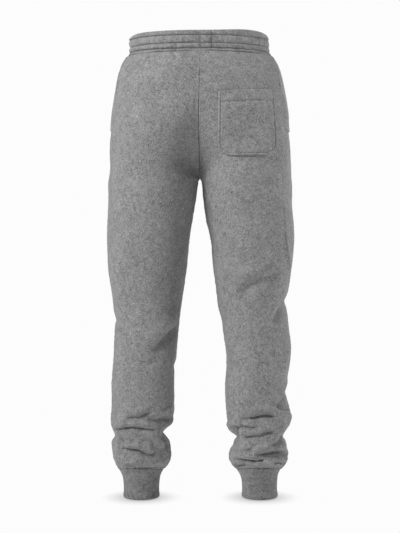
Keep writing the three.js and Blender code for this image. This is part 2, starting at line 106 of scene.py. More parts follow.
camera_data = bpy.data.cameras.new("camera")
camera_data.sensor_fit = "HORIZONTAL"
camera_data.sensor_width = SENSOR
camera_data.lens = SENSOR * CAMERA_DISTANCE / VIEW_WIDTH
camera_data.shift_y = -FRAME_DROP
camera = added("camera", camera_data)
camera.location = (0, CAMERA_DISTANCE, CAMERA_HEIGHT)
camera.rotation_euler = (math.radians(90), 0, math.radians(180))
bpy.context.scene.camera = camera
bpy.context.scene.view_settings.view_transform = "Standard"

# %% [markdown]
# The floor is a wide disc that glows as white as the studio round it, so that no horizon line
# shows. It darkens only where a cuff stands close: that is a painted shadow, its glow dimmed by
# ambient occlusion.

# %% Floor
FLOOR_HEIGHT = -0.967
FLOOR_RADIUS = 30.0
STUDIO_WHITE = 0.975
# painted shade: how far round the cuffs the floor's glow is dimmed, and how dark it gets
PAINTED_SHADOW = dict(reach=0.052, contact=0.32, power=1.25, samples=24)  # under and round the cuffs


def disc(name, radius, height, steps=96):
    turns = np.linspace(0, 2 * math.pi, steps, endpoint=False)
    rim = [(radius * math.cos(t), radius * math.sin(t), height) for t in turns]
    mesh = bpy.data.meshes.new(name)
    mesh.from_pydata(rim, [], [tuple(range(steps))])
    return added(name, mesh)


def floor_material():
    material, tree = new_material("studio floor")
    tree.nodes.clear()
    # painted shadow: the floor has no diffuse part, and ambient occlusion near the cuffs dims its glow
    nearness = {"Distance": PAINTED_SHADOW["reach"]}
    open_share = new_node(tree, "ShaderNodeAmbientOcclusion", nearness, samples=PAINTED_SHADOW["samples"])
    falling = new_node(tree, "ShaderNodeMath", {1: PAINTED_SHADOW["power"]}, operation="POWER")
    white = new_node(tree, "ShaderNodeMapRange", {"To Min": PAINTED_SHADOW["contact"], "To Max": STUDIO_WHITE})
    glow = new_node(tree, "ShaderNodeEmission")
    out = new_node(tree, "ShaderNodeOutputMaterial")
    wire(
        tree,
        (open_share, "AO", falling, 0),
        (falling, "Value", white, "Value"),
        (white, "Result", glow, "Strength"),
        (glow, "Emission", out, "Surface"),
    )
    return material


floor = disc("studio_floor", FLOOR_RADIUS, FLOOR_HEIGHT)
floor.data.materials.append(floor_material())

# %% [markdown]
# The key light is a large lamp, high to the left beside the camera. It brightens the left of each
# leg and leaves the inner side of the left thigh dark, as in the photograph. A smaller lamp stands
# far to the right, above the waist, where the right leg hides the left one from it. A weak
# lamp stands over the waistband, one beyond the garment lights its front, and the white studio
# adds a little from all round.

# %% Lights
LIGHTS = table(
    "name place size watts",
    ("key", (2.65, 2.0, 1.9), 1.3, 150),
    ("rim", (-2.7, 0.2, 0.5), 0.8, 40),
    ("top", (0.2, 0.5, 2.4), 1.2, 14),
    ("behind", (-1.2, -3.0, 0.9), 1.8, 60),
)
LIGHTS_AIM = Vector((0, 0, -0.45))
STUDIO_FILL = 0.045

for row in LIGHTS:
    lamp_data = bpy.data.lights.new(row["name"], "AREA")
    lamp_data.size = row["size"]
    lamp_data.energy = row["watts"]
    lamp = added(row["name"], lamp_data)
    lamp.location = row["place"]
    aim = LIGHTS_AIM - Vector(row["place"])
    lamp.rotation_euler = aim.to_track_quat("-Z", "Y").to_euler()

studio = bpy.data.worlds.new("studio")
studio.use_nodes = True
studio.node_tree.nodes.clear()
seen = new_node(studio.node_tree, "ShaderNodeBackground", {"Color": (STUDIO_WHITE,) * 3 + (1,)})
lit = new_node(studio.node_tree, "ShaderNodeBackground", {"Strength": STUDIO_FILL})
ray = new_node(studio.node_tree, "ShaderNodeLightPath")
choose = new_node(studio.node_tree, "ShaderNodeMixShader")
studio_out = new_node(studio.node_tree, "ShaderNodeOutputWorld")
wire(
    studio.node_tree,
    (ray, "Is Camera Ray", choose, "Fac"),
    (lit, "Background", choose, 1),
    (seen, "Background", choose, 2),
    (choose, "Shader", studio_out, "Surface"),
)
bpy.context.scene.world = studio
print("lights:", len(LIGHTS))

# %% [markdown]
# ## The cut
#
# Each leg is a tube from the waist to the ankle. A place on it has a height and an angle: 0 at
# the outer side, 90 at the back, 180 at the centre seam or the inseam, and -90 at the front.
# Above the crotch the two tubes open into one another and make the seat. The tables hold the
# widths and depths of the sections from the waist down. They follow the solids, but here the seat
# falls in deeper beside the centre seam, and the right side seam runs further round at the knee.

# %% Sizes
CLOTH = 2.0  # the thickness of the fleece
SEAM_GAP = 0.3  # between the solids' sewn edges
TURN = 2 * math.pi
BAND_TOP = 20.5
BAND_FOOT = -15.5
PANEL_TOP = BAND_FOOT - SEAM_GAP
CROTCH = -286
RISE_CURVE = 150  # height over which the centre seams curve under to the crotch
RISE_POWER = 0.6  # how soon that curve reaches its full height
LEG_BLEND = 45  # how far below the crotch the legs still take some of the seat's shape
SEAM_SHARPNESS = 6
CUFF_TOP = -907  # at the sides
CUFF_FOOT = -965.5
CUFF_LEVEL = -940  # below here a cuff is level
CUFF_SLOPE = 0.19  # how steeply the cuff seams rise towards the back
CUFF_MIDDLE_Y = 12
SLOPE_RISE = 26  # how far above the cuff seams the legs take on that slope
PANEL_FOOT = CUFF_TOP + SEAM_GAP
DRAWN_WIDTH = 36  # how wide the centre seams draw in
DRAWN_FRONT = 0.4  # how much of that the front has
VALLEY = dict(depth=11.5, top=-150, fade_in=45, fade_out=28)  # where the seat falls in at the seam
VALLEY_SHARP = {"left": 12, "right": 8}
VALLEY_SLOPE = dict(share=0.75, wide=56, full=6)  # the broader slope of its left side
SEAM_SQUARE = 9  # how near the centre seams the cloth is square to the middle plane

HIPS = table(
    "z outer back front round drawn left right",
    (-15, 149.5, 103, 102, 1, 0, 22, 24),
    (-22, 154, 106, 105, 0.98, 0, 22, 25),
    (-38, 162.5, 111, 108, 0.95, 0, 24, 31),
    (-55, 169, 115, 110, 0.9, 1, 26, 35),
    (-90, 177, 120, 112, 0.84, 3, 26, 39),
    (-141, 186.5, 125, 114, 0.8, 9, 24, 39),
    (-190, 190, 125, 115, 0.77, 17, 20, 36),
    (-245, 194.5, 119, 115, 0.77, 18, 14, 38),
    (CROTCH, 197, 114, 113, 0.77, 0, 10, 42),
)
LEG_COLUMNS = "z outer inner back front seam"
LEFT_LEG = table(
    LEG_COLUMNS,
    (-290, 197, 3.4, 113.5, 112.7, 9),
    (-330, 196, 8.5, 106, 110, 4),
    (-373, 198, 15, 101, 106, 2),
    (-416, 200, 21.5, 97, 101, 0),
    (-460, 198, 26, 92, 96, 0),
    (-545, 189, 38.5, 80, 88, 0),
    (-590, 184, 44, 78, 83, 0),
    (-642, 185.5, 49.5, 82, 76, 0),
    (-717, 189.5, 54, 84, 67, 0),
    (-770, 188, 56, 82, 61, 0),
    (-805, 191.5, 57.5, 81, 58, 0),
    (-850, 189, 61, 78, 54, 0),
    (-880, 185.5, 63, 76, 51, 0),
    (-896, 180, 68, 70, 45, 0),
    (CUFF_TOP, 173, 79, 61, 37, 0),
)
RIGHT_LEG = table(
    LEG_COLUMNS,
    (-290, 197.4, 3, 113.5, 112.7, 42),
    (-330, 198.5, 6.5, 106, 110, 42),
    (-373, 201.5, 13.5, 101, 106, 41),
    (-416, 202, 22, 97, 101, 42),
    (-460, 200, 26, 92, 96, 33),
    (-502, 193.5, 32, 86, 92, 16),
    (-545, 187, 38.5, 80, 88, 4),
    (-590, 189.5, 45, 78, 83, 0),
    (-650, 195.5, 54.5, 82, 75, 0),
    (-690, 192, 57.5, 84, 70, 0),
    (-740, 184, 54, 83, 64, 0),
    (-790, 195, 56, 81, 59, 0),
    (-850, 190, 62.5, 78, 54, 0),
    (-880, 189, 62, 76, 51, 0),
    (-896, 183.5, 68, 70, 45, 0),
    (CUFF_TOP, 172.5, 79, 61, 37, 0),
)
SECTIONS = {
    "left": [dict(row, inner=0, seam=row["left"]) for row in HIPS] + LEFT_LEG,
    "right": [dict(row, inner=0, seam=row["right"]) for row in HIPS] + RIGHT_LEG,
}
MIRROR = {"left": 1, "right": -1}


# %% Reading the tables
def smooth(low, high, value):
    """0 below low, 1 above high, and an even curve between."""
    share = np.clip((value - low) / (high - low), 0, 1)
    return share * share * (3 - 2 * share)


def bell(value, middle, width):
    """1 at the middle, and falling away to either side."""
    return np.exp(-(((value - middle) / width) ** 2))


def stacked(*columns):
    """Points from their coordinates."""
    return np.stack(np.broadcast_arrays(*columns), -1)


def column_at(rows, column, z):
    """One column of a table at heights z, on a smooth curve through its rows."""
    heights = np.array([row["z"] for row in rows], float)
    values = np.array([row[column] for row in rows], float)
    last = len(rows) - 1
    above = np.maximum(np.arange(last + 1) - 1, 0)
    below = np.minimum(np.arange(last + 1) + 1, last)
    slope = (values[below] - values[above]) / (heights[below] - heights[above])
    i = np.clip(np.searchsorted(-heights, -np.asarray(z, float), side="right") - 1, 0, last - 1)
    span = heights[i + 1] - heights[i]
    t = np.clip((z - heights[i]) / span, 0, 1)
    return (
        values[i] * (1 + 2 * t) * (1 - t) ** 2
        + slope[i] * span * t * (1 - t) ** 2
        + values[i + 1] * t * t * (3 - 2 * t)
        + slope[i + 1] * span * t * t * (t - 1)
    )


def seat_share(angle, z):
    """How much of the seat's shape a place has: all on the hips, none on the legs."""
    s = np.clip((z - CROTCH) / RISE_CURVE, 0, 1)
    rise = (1 - (1 - s) ** 2) ** RISE_POWER
    slow = smooth(CROTCH - LEG_BLEND, CROTCH + RISE_CURVE, z)
    near_seam = np.minimum(np.abs(angle) / 180, 1) ** SEAM_SHARPNESS
    return slow + (rise - slow) * near_seam


def valley(side, x, z):
    """How far the back of the seat falls in beside the centre seam."""
    fallen = np.exp(-np.abs(x) / VALLEY_SHARP[side])
    if side == "left":
        slope = smooth(VALLEY_SLOPE["wide"], VALLEY_SLOPE["full"], x)
        fallen = fallen + VALLEY_SLOPE["share"] * (slope - fallen)
    above = smooth(VALLEY["top"], VALLEY["top"] - VALLEY["fade_in"], z)
    return VALLEY["depth"] * fallen * (above * smooth(CROTCH, CROTCH + VALLEY["fade_out"], z))


def section_at(side, z):
    """A leg's section at heights z: its outer and inner side, its back and its front."""
    rows = SECTIONS[side]
    inner = np.maximum(column_at(rows, "inner", z), 0)
    return column_at(rows, "outer", z), inner, column_at(rows, "back", z), column_at(rows, "front", z)


def cut_at(side, angle, z):
    """The smooth outer face at an angle and a height, and the level direction out of it."""
    outer, inner, back, front = section_at(side, z)
    middle = (back - front) / 2
    half_depth = (back + front) / 2
    half_width = (outer - inner) / 2
    a = np.radians(angle)
    leg_x = (outer + inner) / 2 + half_width * np.cos(a)
    leg_y = middle + half_depth * np.sin(a)
    half_cos = np.maximum(np.cos(a / 2), 0)
    half_sin = np.sin(a / 2)
    round_ = column_at(HIPS, "round", z)
    seat_x = outer * half_cos**round_
    seat_y = middle + half_depth * np.sign(half_sin) * np.abs(half_sin) ** round_
    share = seat_share(angle, z)
    x = leg_x + (seat_x - leg_x) * share
    y = leg_y + (seat_y - leg_y) * share
    drawn = column_at(HIPS, "drawn", z) * bell(x, 0, DRAWN_WIDTH) * (z > CROTCH)
    y = y - np.where(half_sin > 0, drawn, -DRAWN_FRONT * drawn)
    y = y - valley(side, x, z) * (half_sin > 0)
    leg_out = unit(stacked(np.cos(a) / half_width, np.sin(a) / half_depth))
    seat_out = unit(stacked(half_cos / outer, half_sin / half_depth))
    out = leg_out + (seat_out - leg_out) * share[..., None]
    by_seam = bell(x, 0, SEAM_SQUARE) * (z > CROTCH)
    out = unit(out * stacked(1 - by_seam, 1))
    return stacked(x, y, z), stacked(out[..., 0], out[..., 1], 0)


def unit(vectors):
    length = np.linalg.norm(vectors, axis=-1, keepdims=True)
    return vectors / np.maximum(length, 1e-9)

# %% [markdown]
# ## Folds
#
# Fleece is thick and soft, so it bends in a few broad waves and then gives way in short sharp
# creases. The broad ones are troughs with a wide bell shape, at the knees and where the legs
# pinch above the ankles. Each has a height and an angle for its middle, its reach to either side
# in degrees, its tilt in millimetres for each degree, a depth, and a width below and over it.

# %% Broad folds
FOLD_COLUMNS = "z angle reach tilt depth width over"
BROAD_FOLDS = {
    "left": table(
        FOLD_COLUMNS,
        (-268, 0, 30, 0, 3.5, 24, 30),
        (-584, 0, 16, -0.3, 4, 9, 9),
        (-560, -70, 42, 0.35, 4, 14, 14),
        (-605, -105, 34, -0.3, 4, 13, 13),
        (-673, 104, 18, 0.25, 2.5, 8, 8),
        (-687, 178, 22, 0, 3, 9, 9),
        (-789, 0, 30, 0, 2.5, 8, 10),
        (-825, 182, 40, 0, 18, 17, 12),
        (-835, 0, 30, 0.05, 8, 8, 22),
        (-825, -95, 60, 0.1, 6, 10, 10),
    ),
    "right": table(
        FOLD_COLUMNS,
        (-565, 34, 27, -0.85, 3, 14, 14),
        (-519, 94, 26, -1.05, 2, 18, 18),
        (-588, 175, 30, 0, 3.8, 22, 20),
        (-566, -66, 44, 0.35, 4, 14, 14),
        (-612, -110, 34, -0.3, 4, 13, 13),
        (-768, 32, 20, 0.6, 3, 11, 11),
        (-540, 0, 26, 0, 4, 9, 13),
        (-690, 0, 28, 0, 2, 40, 45),
        (-803, 5, 32, 0, 4.5, 9, 9),
        (-857, 2, 32, 0, 5, 10, 9),
        (-857, 180, 36, 0, 5.5, 13, 12),
        (-839, 180, 42, 0.05, 21, 11, 13),
        (-835, 0, 36, 0, 16, 11, 18),
        (-829, -92, 52, -0.1, 6, 10, 10),
    ),
}
FOLD_LIP = dict(share=0.15, at=1.7)  # the low swelling over a fold


def broad_folds(side, angle, z):
    """How far the broad folds push the cloth out."""
    out = 0 * angle
    for fold in BROAD_FOLDS[side]:
        away = (angle - fold["angle"] + 180) % 360 - 180
        share = np.exp(-((away / fold["reach"]) ** 4))
        above = z - fold["z"] - fold["tilt"] * away
        above = above / np.where(above > 0, fold["over"], fold["width"])
        out = out - share * fold["depth"] * np.exp(-above * above)
        out = out + share * fold["depth"] * FOLD_LIP["share"] * bell(above, FOLD_LIP["at"], 1)
    return out


# %% [markdown]
# A sharp crease follows a line across the cloth, given by a few of its points as angle and
# height. On the left of the line, as it is written, the cloth bulges and hangs over; on its right
# it lies pressed in. The line fades at both ends.

# %% Creases
CREASE_COLUMNS = "depth width hang line"
CREASES = {
    "left": table(
        CREASE_COLUMNS,
        (10, 10, 0.5, [(96, -652), (118, -636), (132, -620), (146, -611), (170, -595)]),
        (7, 4.6, 1, [(58, -794), (72, -789), (84, -786), (92, -782), (102, -777), (120, -775)]),
        (8, 7, 1, [(98, -791), (118, -793), (139, -791), (166, -797)]),
        (9, 4.4, 2.5, [(20, -824), (36, -817), (53, -811), (68, -808), (83, -808), (98, -810), (112, -812),
                       (126, -814)]),
        (8.5, 4, 1, [(29, -822), (37, -833), (43, -841), (49, -852)]),
        (4, 5, 1, [(44, -838), (57, -836), (72, -836), (80, -838)]),
        (3.5, 7, 1, [(88, -837), (104, -838), (122, -842)]),
        (4, 7, 0.5, [(108, -851), (131, -854), (156, -856)]),
        (8.5, 4, 2, [(44, -861), (56, -854), (71, -854), (83, -855), (92, -858), (101, -864), (112, -865),
                     (124, -859)]),
        (8.5, 3.8, 1, [(166, -884), (162, -869), (155, -857), (149, -849), (142, -839), (134, -832),
                       (126, -820)]),
        (3, 4.5, 0.5, [(22, -868), (44, -869), (60, -871), (74, -873)]),
        (3.5, 3.5, 0.5, [(52, -886), (64, -896), (80, -897)]),
        (7, 4.5, 2, [(-124, -795), (-96, -800), (-62, -799), (-36, -806)]),
        (9, 4.4, 2.5, [(-158, -824), (-120, -829), (-84, -824), (-44, -819)]),
        (7, 4, 2, [(-98, -858), (-74, -853), (-46, -848), (-20, -851)]),
        (8, 4, 2, [(-150, -866), (-122, -873), (-94, -876), (-70, -881)]),
    ),
    "right": table(
        CREASE_COLUMNS,
        (7, 10, 0, [(48, -481), (61, -488), (85, -501), (102, -516), (118, -535)]),
        (6, 6, 1, [(-18, -552), (6, -549), (29, -551), (48, -571), (64, -592)]),
        (8, 5, 1.5, [(-12, -718), (10, -736), (32, -753), (46, -764), (56, -774)]),
        (6, 5, 1, [(58, -766), (36, -772), (8, -781), (-12, -788)]),
        (9.5, 4.8, 2.5, [(54, -789), (66, -784), (75, -781), (88, -782), (101, -786), (114, -789),
                         (128, -796)]),
        (4, 6, 0.5, [(16, -793), (32, -791), (44, -790), (60, -788)]),
        (7.5, 4, 2, [(86, -808), (104, -808), (116, -807), (125, -807), (138, -810), (152, -813)]),
        (10, 6, 0.5, [(137, -840), (138, -828), (139, -816), (142, -804)]),
        (7, 4, 1.5, [(64, -816), (71, -818), (81, -820), (91, -824), (104, -826), (118, -828),
                     (128, -829)]),
        (8.5, 5, 1, [(40, -827), (48, -837), (60, -842), (76, -847)]),
        (4, 4, 0.5, [(90, -843), (101, -847), (111, -855), (121, -858), (136, -856)]),
        (13.5, 6, 2, [(12, -869), (26, -867), (39, -865), (56, -862), (70, -863), (83, -864), (95, -865),
                      (114, -867)]),
        (9, 3.8, 2, [(74, -877), (83, -877), (96, -878), (108, -878), (121, -877), (137, -878),
                     (152, -883)]),
        (7, 3.8, 0.5, [(118, -889), (137, -895), (164, -901)]),
        (8, 3.8, 1.5, [(14, -892), (32, -890), (48, -885), (64, -891)]),
        (7, 4.5, 2, [(-126, -806), (-96, -802), (-66, -798), (-40, -795)]),
        (9, 4.4, 2.5, [(-146, -826), (-112, -825), (-78, -831), (-44, -836)]),
        (7, 4, 2, [(-158, -861), (-134, -858), (-104, -853), (-84, -852)]),
        (8, 4, 2, [(-112, -881), (-84, -879), (-54, -874), (-28, -872)]),
    ),
}
CREASE_TAPER = 0.24  # share of a line's length over which each end fades
CREASE_STEPS = 36
CREASE_SHARE = 1.1  # how much of its depth a crease shows
PRESSED = dict(over=0.85, under=1.7, fall=1.5)  # a crease's section, in shares of its width
LIP = dict(share=0.38, at=2.6, width=1.5)  # the bulge over it
OVERHANG = dict(at=0.8, width=0.85)  # where that bulge hangs over


def smooth_line(points, steps):
    """Points on a smooth curve through a few points."""
    given = np.array(points, float)
    ends = np.vstack([2 * given[0] - given[1], given, 2 * given[-1] - given[-2]])
    t = np.linspace(0, len(given) - 1, steps)
    i = np.minimum(t.astype(int), len(given) - 2)
    f = (t - i)[:, None]
    a, b, c, d = (ends[i + k] for k in range(4))
    return 0.5 * (2 * b + (c - a) * f + (2 * a - 5 * b + 4 * c - d) * f**2 + (3 * b - a - 3 * c + d) * f**3)


def degree_width(side, z):
    """Millimetres of cloth round the leg for each degree."""
    outer, inner, back, front = section_at(side, z)
    return ((outer - inner) + (back + front)) / 4 * math.pi / 180


def crease_at(side, crease, angle, z):
    """How far left of a crease's line a place is, and the crease's strength, heading and scale."""
    line = smooth_line(crease["line"], CREASE_STEPS)
    scale = float(degree_width(side, line[:, 1].mean()))
    x = line[:, 0] * scale
    y = line[:, 1]
    middle = line[:, 0].mean()
    near = (((angle - middle + 180) % 360) - 180 + middle) * scale
    best = np.full(angle.shape, 1e9)
    left = np.zeros(angle.shape)
    along = np.zeros(angle.shape)
    for k in range(len(line) - 1):
        dx, dy = x[k + 1] - x[k], y[k + 1] - y[k]
        length = math.hypot(dx, dy)
        t = ((near - x[k]) * dx + (z - y[k]) * dy) / length**2
        held = np.clip(t, 0, 1)
        gap = np.hypot(near - x[k] - held * dx, z - y[k] - held * dy)
        side_of = (dx * (z - y[k]) - dy * (near - x[k])) / length
        closer = gap < best
        best = np.where(closer, gap, best)
        left = np.where(closer, np.sign(side_of) * gap, left)
        along = np.where(closer, (k + held) / (len(line) - 1), along)
    strength = smooth(0, CREASE_TAPER, along) * smooth(0, CREASE_TAPER, 1 - along)
    heading = math.atan2(y[-1] - y[0], x[-1] - x[0])
    return left, strength, heading, scale


def creases(side, angle, z):
    """How far the creases push the cloth out, and how far they pull it round and along."""
    out = 0 * angle
    turn = 0 * angle
    rise = 0 * angle
    for crease in CREASES[side]:
        left, strength, heading, scale = crease_at(side, crease, angle, z)
        u = left / crease["width"]
        under = 1 / (1 + (u / PRESSED["under"]) ** 2) ** PRESSED["fall"]
        pressed = np.where(u > 0, bell(u, 0, PRESSED["over"]), under)
        lip = LIP["share"] * bell(u, LIP["at"], LIP["width"])
        out = out + strength * CREASE_SHARE * crease["depth"] * (lip - pressed)
        over = strength * crease["hang"] * bell(u, OVERHANG["at"], OVERHANG["width"])
        turn = turn + over * math.sin(heading) / scale
        rise = rise - over * math.cos(heading)
    return out, turn, rise


print("creases:", {side: len(rows) for side, rows in CREASES.items()})

# %% [markdown]
# No cloth is as even as a formula. A sum of slow waves, the same from whichever panel it is
# read, moves the cloth in and out by about a millimetre. The gathers under the waistband and the
# puckers along the seams are quicker waves that die away from the edge that causes them.

# %% Unevenness
rng = np.random.default_rng(7)


def waves(count, shortest, longest):
    """Plane waves in space: a direction times a frequency, and a phase."""
    heading = unit(rng.normal(size=(count, 3)))
    length = rng.uniform(shortest, longest, size=(count, 1))
    return heading * (TURN / length), rng.uniform(0, TURN, count)


WAVE_COUNT = 26
SLOW_WAVES = waves(WAVE_COUNT, 55, 150)
QUICK_WAVES = waves(WAVE_COUNT, 14, 32)
FINE_WAVES = waves(WAVE_COUNT, 6, 13)


def uneven(points, wave_set):
    """A smooth random value at each point, mostly between -1 and 1."""
    heading, phase = wave_set
    return np.sin(points @ heading.T + phase).sum(-1) / math.sqrt(len(phase) / 2)


GATHERS = dict(waves=8, depth=1.3, length=46, past=4, at_sides=0.65, wander=0.8, small=0.35)


def gathers(angle, z, points):
    """The ripple where the panels are eased on to the waistband."""
    fade = smooth(PANEL_TOP - GATHERS["length"], PANEL_TOP + GATHERS["past"], z)
    phase = GATHERS["wander"] * uneven(points, SLOW_WAVES)
    wave = np.cos(np.radians(2 * GATHERS["waves"] * angle) + phase)
    centred = np.abs(np.sin(np.radians(angle / 2)))
    share = GATHERS["at_sides"] + (1 - GATHERS["at_sides"]) * centred
    return fade * (GATHERS["depth"] * wave * share + GATHERS["small"] * uneven(points, QUICK_WAVES))


CUFF_PUCKERS = dict(count=26, depth=0.9, length=20, wander=1.5)


def cuff_puckers(angle, z, points):
    """The ripple where a leg is eased on to its cuff."""
    fade = smooth(PANEL_FOOT + CUFF_PUCKERS["length"], PANEL_FOOT, z)
    phase = CUFF_PUCKERS["wander"] * uneven(points, QUICK_WAVES)
    return CUFF_PUCKERS["depth"] * fade * np.cos(np.radians(CUFF_PUCKERS["count"] * angle) + phase)


# %% [markdown]
# ## Panels
#
# A panel is one sheet of points in rows across it. The columns are spaced along the cloth, with
# more of them close to the seams, where the edge rolls in and leaves the fine groove that a seam
# shows. Past the edge the sheet goes on into the leg as the seam allowance, which lies against
# its neighbour's and closes the seam. Solidify then gives the sheet the thickness of the fleece.

# %% Panel rows and columns
ROW_STEP = 2.9
STACK_TOP = -762  # below here the folds are close and the rows too
STACK_STEP = 1.3
FINE_STEP = 0.7  # at edges and stitch lines
FINE_REACH = 3.6  # how far to either side of them
COLUMN_COUNT = 84
EDGE_STEPS = [0.15, 0.5, 1.0, 1.7, 2.6, 4.0]
ALLOWANCE = table("inside apart", (6.0, 0.0), (3.2, 0.1))  # the cloth turned in at a seam
ROLL = dict(width=2.4, depth=1.5)  # how an edge turns in
CENTRE_ROLL = dict(top=0.45, more=0.9, heights=(-50, -190))  # at the centre seams and inseams
SIDE_ROLL = 0.45  # at the side seams
CUFF_ROLL = dict(open=0.6, less=0.55)  # at the cuff seams, and how much less where they are buried
BURIED = {"left": (-20, 92), "right": (28, 150)}  # angles where a cuff seam sinks into the fleece
BURIED_BLUR = 15
RAISED = dict(by=2.0, reach=9)  # the back panel's edge beside a side pocket's mouth
RIDGE = dict(at=4.4, reach=2.6, top=(-375, -415), foot=(-530, -475))  # over a side seam's allowances
RIDGE_BY = {"left": 0.3, "right": 2.4}
MOUTH = dict(top=-24, foot=-186, lift=0.35 + CLOTH, step=2.2, blur_top=6, blur_foot=8)
MOUTH_WIDTH = {"left": 24, "right": 50}
GAPE = dict(by=2.5, past=4, reach=6)  # how the front panel falls away beside a mouth
SEAM_PUCKER = dict(depth=0.3, reach=7)
BAND_STITCH = dict(below=6, depth=1.3, width=1.4, uneven=0.7)  # the sewing under the waistband
UNEVEN = dict(slow=0.8, quick=0.16, stacked=0.62, stack=(-750, -800))  # more where it is stacked
CALM = 20  # how near the band and the cuffs the cloth lies even
FOLD_END = (0.5, 12)  # heights above the cuff seam between which all folds die away
CENTRE_BEND = dict(by=2.6, at=-165, tall=80, wide=40)  # the centre seam at the back bends to the left
ANGLES_TRIED = 361


def finer_near(length, step, fine, places):
    """Places from 0 to length, a step apart, and closer together near the given ones."""
    spots = [0.0]
    while spots[-1] < length:
        gap = min(abs(spots[-1] + fine - place) for place in places)
        spots.append(spots[-1] + (fine if gap < FINE_REACH else step))
    spots = np.array(spots)
    return spots * length / spots[-1]


def panel_heights():
    upper = finer_near(PANEL_TOP - STACK_TOP, ROW_STEP, FINE_STEP, (0, BAND_STITCH["below"]))
    lower = finer_near(STACK_TOP - PANEL_FOOT, STACK_STEP, FINE_STEP, (STACK_TOP - PANEL_FOOT,))
    return np.concatenate([PANEL_TOP - upper, STACK_TOP - lower[1:]])


def run_of(points, axis):
    """How far along the rows or columns of points each point lies."""
    steps = np.linalg.norm(np.diff(points, axis=axis), axis=-1)
    start = np.zeros_like(np.take(steps, [0], axis))
    return np.concatenate([start, np.cumsum(steps, axis)], axis)


def along_cloth(side, heights, first, span):
    """Many angles over a span, and how far along the cloth each of them lies."""
    tried = first[:, None] + span * np.linspace(0, 1, ANGLES_TRIED)
    return tried, run_of(cut_at(side, tried, heights[:, None])[0][..., :2], 1)


def panel_angles(side, half, heights):
    """The angles of the columns at each height, and how far each lies from the panel's edges."""
    seam = column_at(SECTIONS[side], "seam", heights)
    first = seam if half == "back" else np.full_like(seam, -180)
    last = np.full_like(seam, 180) if half == "back" else seam
    tried, length = along_cloth(side, heights, first, (last - first)[:, None])
    near = np.array([turned["apart"] for turned in ALLOWANCE] + EDGE_STEPS)
    whole = length[:, -1:]
    middle = near[-1] + np.linspace(0, 1, COLUMN_COUNT)[1:-1] * (whole - 2 * near[-1])
    places = np.concatenate([near + 0 * whole, middle, whole - near[::-1]], axis=1)
    angles = np.array([np.interp(places[k], length[k], tried[k]) for k in range(len(heights))])
    return angles, np.minimum(places, whole - places)


def rolled(distance):
    """How far an edge is turned in, at a distance from it."""
    share = np.clip(1 - distance / ROLL["width"], 0, 1)
    return ROLL["depth"] * (1 - np.sqrt(1 - share**2))


def cloth_at(side, angle, z, lift=0.0):
    """The cloth's outer face with all its folds."""
    out, turn, rise = creases(side, angle, z)
    fade = smooth(PANEL_FOOT + FOLD_END[0], PANEL_FOOT + FOLD_END[1], z)
    out = (out + broad_folds(side, angle, z)) * fade
    flat, _ = cut_at(side, angle, z)
    place = flat * (MIRROR[side], 1, 1)
    out = out + gathers(angle, z, place) + cuff_puckers(angle, z, place)
    calm = smooth(PANEL_TOP, PANEL_TOP - CALM, z) * smooth(PANEL_FOOT, PANEL_FOOT + CALM, z)
    quick = UNEVEN["quick"] + UNEVEN["stacked"] * smooth(*UNEVEN["stack"], z)
    out = out + calm * (UNEVEN["slow"] * uneven(place, SLOW_WAVES) + quick * uneven(place, QUICK_WAVES))
    points, outward = cut_at(side, angle + turn * fade, np.clip(z + rise * fade, PANEL_FOOT, PANEL_TOP))
    points = points + outward * (out + lift)[..., None]
    bend = CENTRE_BEND["by"] * bell(z, CENTRE_BEND["at"], CENTRE_BEND["tall"]) * (angle > 0)
    points[..., 0] += MIRROR[side] * bend * bell(MIRROR[side] * points[..., 0], 0, CENTRE_BEND["wide"])
    slope = CUFF_SLOPE * smooth(PANEL_FOOT + SLOPE_RISE, PANEL_FOOT, z)
    points[..., 2] += slope * (points[..., 1] - CUFF_MIDDLE_Y)
    return points * (MIRROR[side], 1, 1)


def turned_in(columns):
    """How far each column lies inside the leg, as part of a seam allowance."""
    inside = np.zeros(columns)
    deep = [turned["inside"] for turned in ALLOWANCE]
    inside[: len(deep)] = deep
    inside[-len(deep) :] = deep[::-1]
    return inside


def beside_mouth(z):
    """1 at the heights of the side pockets' mouths, and 0 past their ends."""
    top, foot, over, under = (MOUTH[name] for name in ("top", "foot", "blur_top", "blur_foot"))
    return smooth(top + over, top - over, z) * smooth(foot - under, foot + under, z)


def edge_lift(side, half, from_edge, z):
    """How a panel's edges lie: turned in, and at the side raised over the seam and by the pocket."""
    columns = from_edge.shape[1]
    at_side = (np.arange(columns) < columns / 2) == (half == "back")
    centre = CENTRE_ROLL["top"] + CENTRE_ROLL["more"] * smooth(*CENTRE_ROLL["heights"], z)
    beside = beside_mouth(z)
    raised = RAISED["by"] * beside * bell(from_edge, 0, RAISED["reach"]) * (half == "back")
    ridge = RIDGE_BY[side] * smooth(*RIDGE["top"], z) * smooth(*RIDGE["foot"], z)
    raised = raised + ridge * bell(from_edge, RIDGE["at"], RIDGE["reach"])
    gape = GAPE["by"] * bell(from_edge - MOUTH_WIDTH[side], GAPE["past"], GAPE["reach"])
    raised = raised - gape * beside * (half == "front")
    return np.where(at_side, raised - SIDE_ROLL * rolled(from_edge), -centre * rolled(from_edge))


def buried(side, angle):
    """Where a cuff seam is hidden in the fleece."""
    first, last = BURIED[side]
    begun = smooth(first - BURIED_BLUR, first + BURIED_BLUR, angle)
    return begun * smooth(last + BURIED_BLUR, last - BURIED_BLUR, angle)


